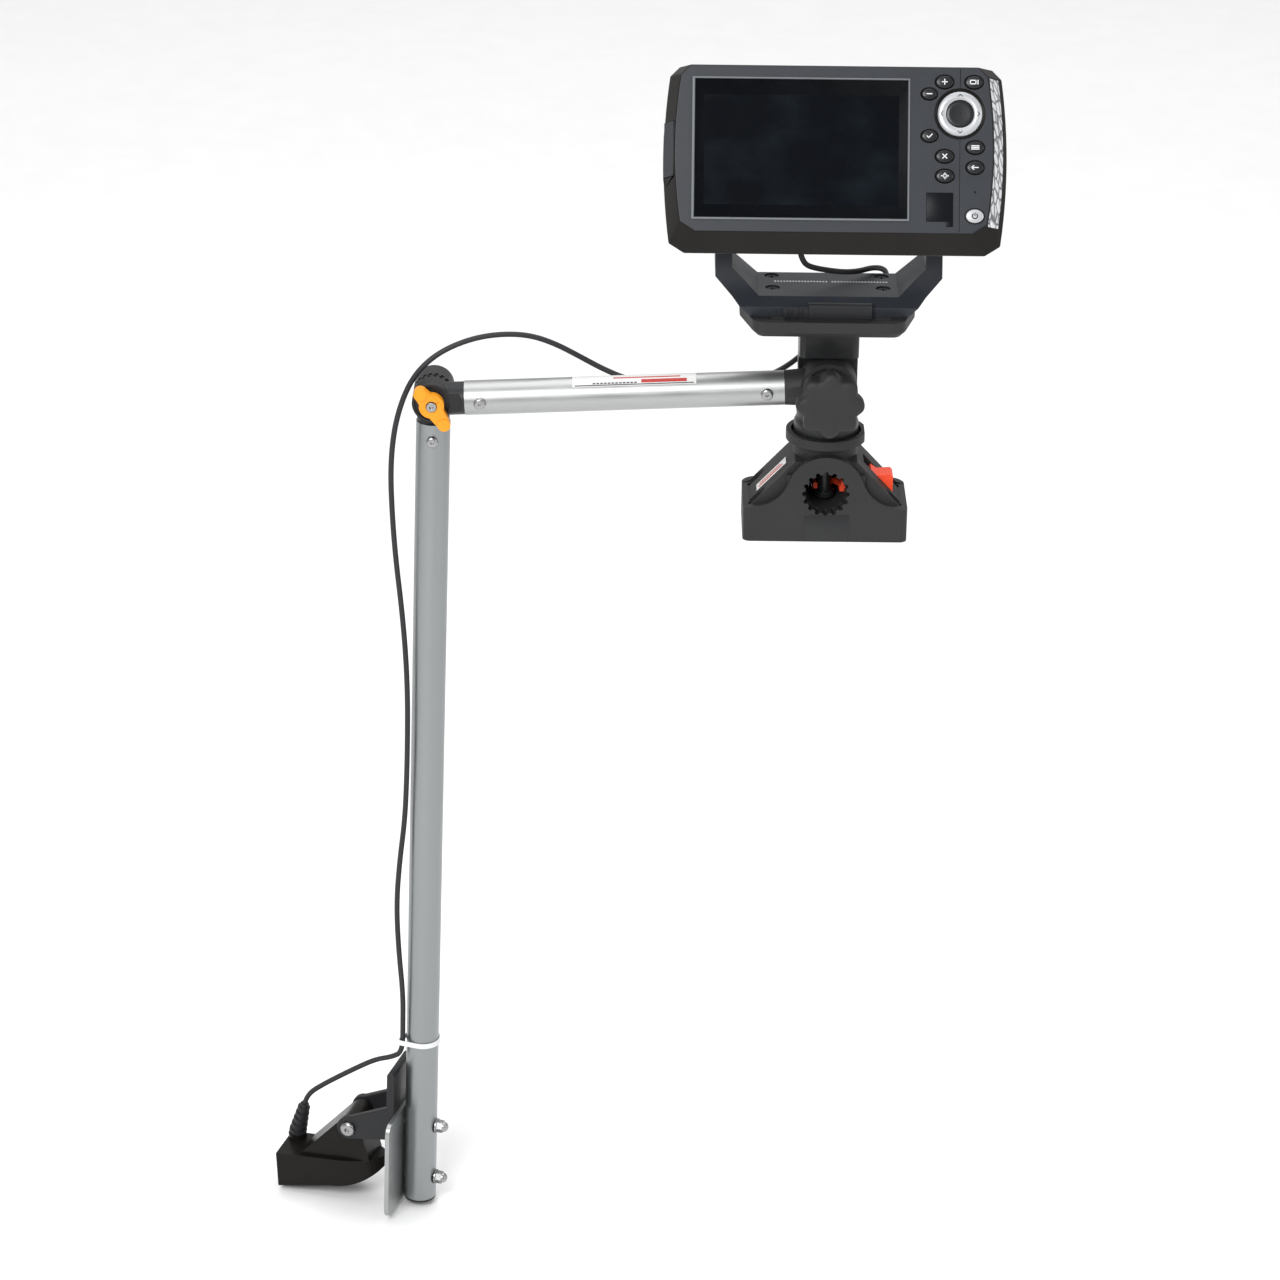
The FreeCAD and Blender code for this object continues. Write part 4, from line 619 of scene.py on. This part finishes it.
def armLabelPieces():
    left, right, low, high = armLabel["left"], armLabel["right"], armLabel["low"], armLabel["high"]
    patches = (
        ("armLabel", (left, right, low, high, 0.04), labelWhite),
        ("armLabelRim", (left + 1.5, right - 1.5, low + 3.0, low + 6.5, 0.14), labelGrey),
        ("armLabelBar", (left + 44, right - 6, low + 10, low + 24, 0.14), labelRed),
        ("armLabelStripe", (left + 26, right - 10, low + 32, low + 38, 0.14), labelRed),
    )
    for name, values, material in patches:
        pieceFrom(name, wrapPatch(*values), armFrame, material, "arm", False)
    shape = bmesh.new()
    for i in range(12):
        start = left + 13 + 2.4 * i
        dash = wrapPatch(start, start + 1.7, low + 9, low + 14, 0.14)
        mesh = bpy.data.meshes.new("dash")
        dash.to_mesh(mesh)
        dash.free()
        shape.from_mesh(mesh)
        bpy.data.meshes.remove(mesh)
    pieceFrom("armLabelDashes", shape, armFrame, labelGrey, "arm", False)


def baseSticker():
    slope = moved(-35.0, 0, 37.35) @ turned(-46.8, "Y")
    sticker = box(bmesh.new(), (-13.0, -9.5, 0.0), (14.0, 0.8, 0.18), 0.05)
    pieceFrom("baseSticker", sticker, slope, labelWhite, "base", False)
    lines = bmesh.new()
    box(lines, (-11.0, -7.4, 0.18), (11.0, -5.4, 0.26))
    box(lines, (-10.0, -3.6, 0.18), (9.0, -2.2, 0.26))
    pieceFrom("baseStickerLines", lines, slope, labelRed, "base", False)
    # dark plate below the bore: a smooth front panel whose darker colour is painted shade of that strip
    frontPanelShade = box(bmesh.new(), (-13.5, -27.15, 0.6), (15.5, -26.9, 18.6), 0.1)
    pieceFrom("baseFrontPanelShade", frontPanelShade, Matrix.Identity(4), postShell, "base", False)


bracketMarks()
armLabelPieces()
baseSticker()
print("labels finished")


# The lead: one cable in five lengths that meet end to end
cable = {"diameter": 3.6, "smoothness": 10}
routes = {
    "leadFoot": (
        (-350.5, 37.4, -459.1), (-348.7, 36.3, -451.3), (-337.0, 32.0, -440.5), (-315.5, 22.5, -423.0),
        (-298.5, 13.0, -409.0), (-287.0, 5.8, -403.0), (-278.9, 0.6, -396.0), (-278.6, 0.5, -384.9),
    ),
    "leadMast": (
        (-278.6, 0.5, -384.9), (-278.3, 0.3, -373.9), (-277.9, -0.1, -350.0), (-280.5, 0.0, -316.0),
        (-281.5, 0.0, -281.0), (-279.0, 0.0, -249.1), (-275.0, -0.5, -217.1), (-273.3, -2.0, -187.1),
        (-272.3, -2.5, -156.0), (-271.9, -2.0, -124.0), (-272.9, -0.5, -92.9), (-275.4, 1.0, -59.8),
        (-278.6, 1.5, -28.2), (-280.6, 2.0, 3.9), (-280.9, 1.5, 20.0),
    ),
    "leadElbow": (
        (-280.9, 1.5, 20.0), (-281.2, 1.0, 36.0), (-278.6, -0.5, 63.0), (-272.8, -3.0, 85.5),
        (-264.8, -4.8, 102.8), (-253.3, -3.0, 114.6), (-239.5, 0.0, 122.0), (-223.3, 3.0, 126.8),
        (-206.0, 5.5, 128.2), (-190.0, 7.0, 126.6), (-175.0, 8.0, 121.0), (-160.0, 8.5, 112.8),
        (-145.0, 8.5, 104.3), (-130.0, 7.5, 98.0), (-113.0, 5.0, 95.0), (-94.0, 2.8, 95.6), (-76.0, 2.6, 97.4),
        (-67.5, 3.6, 97.6),
    ),
    "leadShoulder": (
        (-67.5, 3.6, 97.6), (-59.0, 4.6, 97.8), (-46.0, 10.0, 97.0), (-35.0, 18.0, 98.0), (-24.0, 26.0, 101.5),
        (-13.0, 33.0, 108.5), (-1.0, 39.0, 118.5), (11.0, 43.5, 128.5), (22.0, 46.0, 136.9),
        (37.0, 45.0, 148.5), (38.0, 42.5, 157.0), (37.0, 35.5, 163.2), (33.0, 27.0, 168.0),
        (26.7, 18.0, 171.1), (22.1, 13.2, 171.4),
    ),
    "leadScreen": (
        (22.1, 13.2, 171.4), (17.5, 8.5, 171.8), (8.0, 0.5, 174.0), (-1.3, -6.0, 177.2), (-10.5, -12.5, 180.9),
        (-16.3, -18.0, 184.7), (-19.1, -20.3, 189.5), (-20.6, -20.3, 194.9), (-20.6, -18.1, 199.4),
    ),
}
# piece: real length, CAD node, bodies it bends between, and where the bend starts and ends
leadFacts = {
    "leadFoot": (114.6, "lead_foot", ("transducer", "mast"), (-350.5, 37.4, -459.1), (-287.0, 5.8, -403.0)),
    "leadMast": (405.8, "lead_mast", ("mast",), None, None),
    "leadElbow": (298.1, "lead_elbow", ("mast", "arm"), (-280.9, 1.5, 36.0), (-239.5, 0.0, 122.0)),
    "leadShoulder": (176.9, "lead_shoulder", ("arm", "post"), (-59.0, 4.6, 97.8), (11.0, 43.5, 128.5)),
    "leadScreen": (68.0, "lead_screen", ("post", "screen"), (17.5, 8.5, 171.8), (-16.3, -18.0, 184.7)),
}


def routeCurve(name, points, thickness):
    curve = bpy.data.curves.new(name, "CURVE")
    curve.dimensions = "3D"
    curve.resolution_u = cable["smoothness"]
    curve.bevel_depth = thickness / 2
    curve.bevel_resolution = 4
    spline = curve.splines.new("NURBS")
    spline.points.add(len(points) - 1)
    for target, point in zip(spline.points, points):
        target.co = (*(Vector(point) * mm), 1)
    spline.order_u = 3
    spline.use_endpoint_u = True
    return curve


def meshOfCurve(curve):
    holder = bpy.data.objects.new("holder", curve)
    bpy.context.collection.objects.link(holder)
    bpy.context.view_layer.update()
    mesh = bpy.data.meshes.new_from_object(holder)
    bpy.data.objects.remove(holder)
    return mesh


def leadPieces():
    for name, points in routes.items():
        length, node, bodies, start, end = leadFacts[name]
        line = meshOfCurve(routeCurve(name + "Line", points, 0.0))
        tube = meshOfCurve(routeCurve(name + "Tube", points, cable["diameter"] * mm))
        shape = bmesh.new()
        shape.from_mesh(tube)
        bmesh.ops.remove_doubles(shape, verts=shape.verts, dist=1e-6)
        bmesh.ops.holes_fill(shape, edges=shape.edges[:])
        rigid = len(bodies) == 1
        piece = pieceFrom(name, shape, Matrix.Identity(4), looks["lead_rubber"], bodies[0] if rigid else None,
                          False)
        if not rigid:
            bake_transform(piece)
        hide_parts(node)


leadPieces()
print("lead finished")


# Floor, light and camera
stage = {"size": 14.0, "gap": 0.003}


def makeFloor():
    shape = bmesh.new()
    bmesh.ops.create_grid(shape, x_segments=1, y_segments=1, size=stage["size"] / 2)
    bmesh.ops.translate(shape, vec=(0, 3.0, cadLow.z - stage["gap"]), verts=shape.verts)
    mesh = bpy.data.meshes.new("floor")
    shape.to_mesh(mesh)
    shape.free()
    mesh.materials.append(floorPaint)
    floor = bpy.data.objects.new("floor", mesh)
    bpy.context.collection.objects.link(floor)


def areaLight(name, power, size, place, target):
    light = bpy.data.lights.new(name, "AREA")
    light.energy = power
    light.size = size
    lamp = bpy.data.objects.new(name, light)
    lamp.location = place
    lamp.rotation_euler = (Vector(target) - Vector(place)).to_track_quat("-Z", "Y").to_euler()
    bpy.context.collection.objects.link(lamp)


def studio():
    centre = (-0.1, 0.0, 0.0)
    areaLight("softKey", 62.0, 1.3, (-1.0, -2.1, 1.6), centre)
    areaLight("topFill", 150.0, 5.0, (0.0, 1.5, 4.2), centre)
    areaLight("sideFill", 9.0, 1.0, (1.9, -0.9, 0.7), centre)
    world = bpy.data.worlds.new("studio")
    world.use_nodes = True
    world.node_tree.nodes["Background"].inputs["Color"].default_value = (1.0, 1.0, 1.0, 1.0)
    world.node_tree.nodes["Background"].inputs["Strength"].default_value = 0.6
    bpy.context.scene.world = world
    bpy.context.scene.view_settings.view_transform = "Standard"


camera = {"lens": 118.1, "sensor": 36.0, "place": (-118.3, -2528.2, 1042.8), "pitch": 66.0, "roll": 0.64}


def makeCamera():
    data = bpy.data.cameras.new("camera")
    data.lens = camera["lens"]
    data.sensor_width = camera["sensor"]
    data.clip_start = 0.05
    data.clip_end = 60.0
    holder = bpy.data.objects.new("camera", data)
    bpy.context.collection.objects.link(holder)
    holder.matrix_world = moved(*camera["place"]) @ turned(camera["pitch"], "X") @ turned(camera["roll"], "Z")
    bpy.context.scene.camera = holder


makeFloor()
studio()
makeCamera()
print("scene ready")
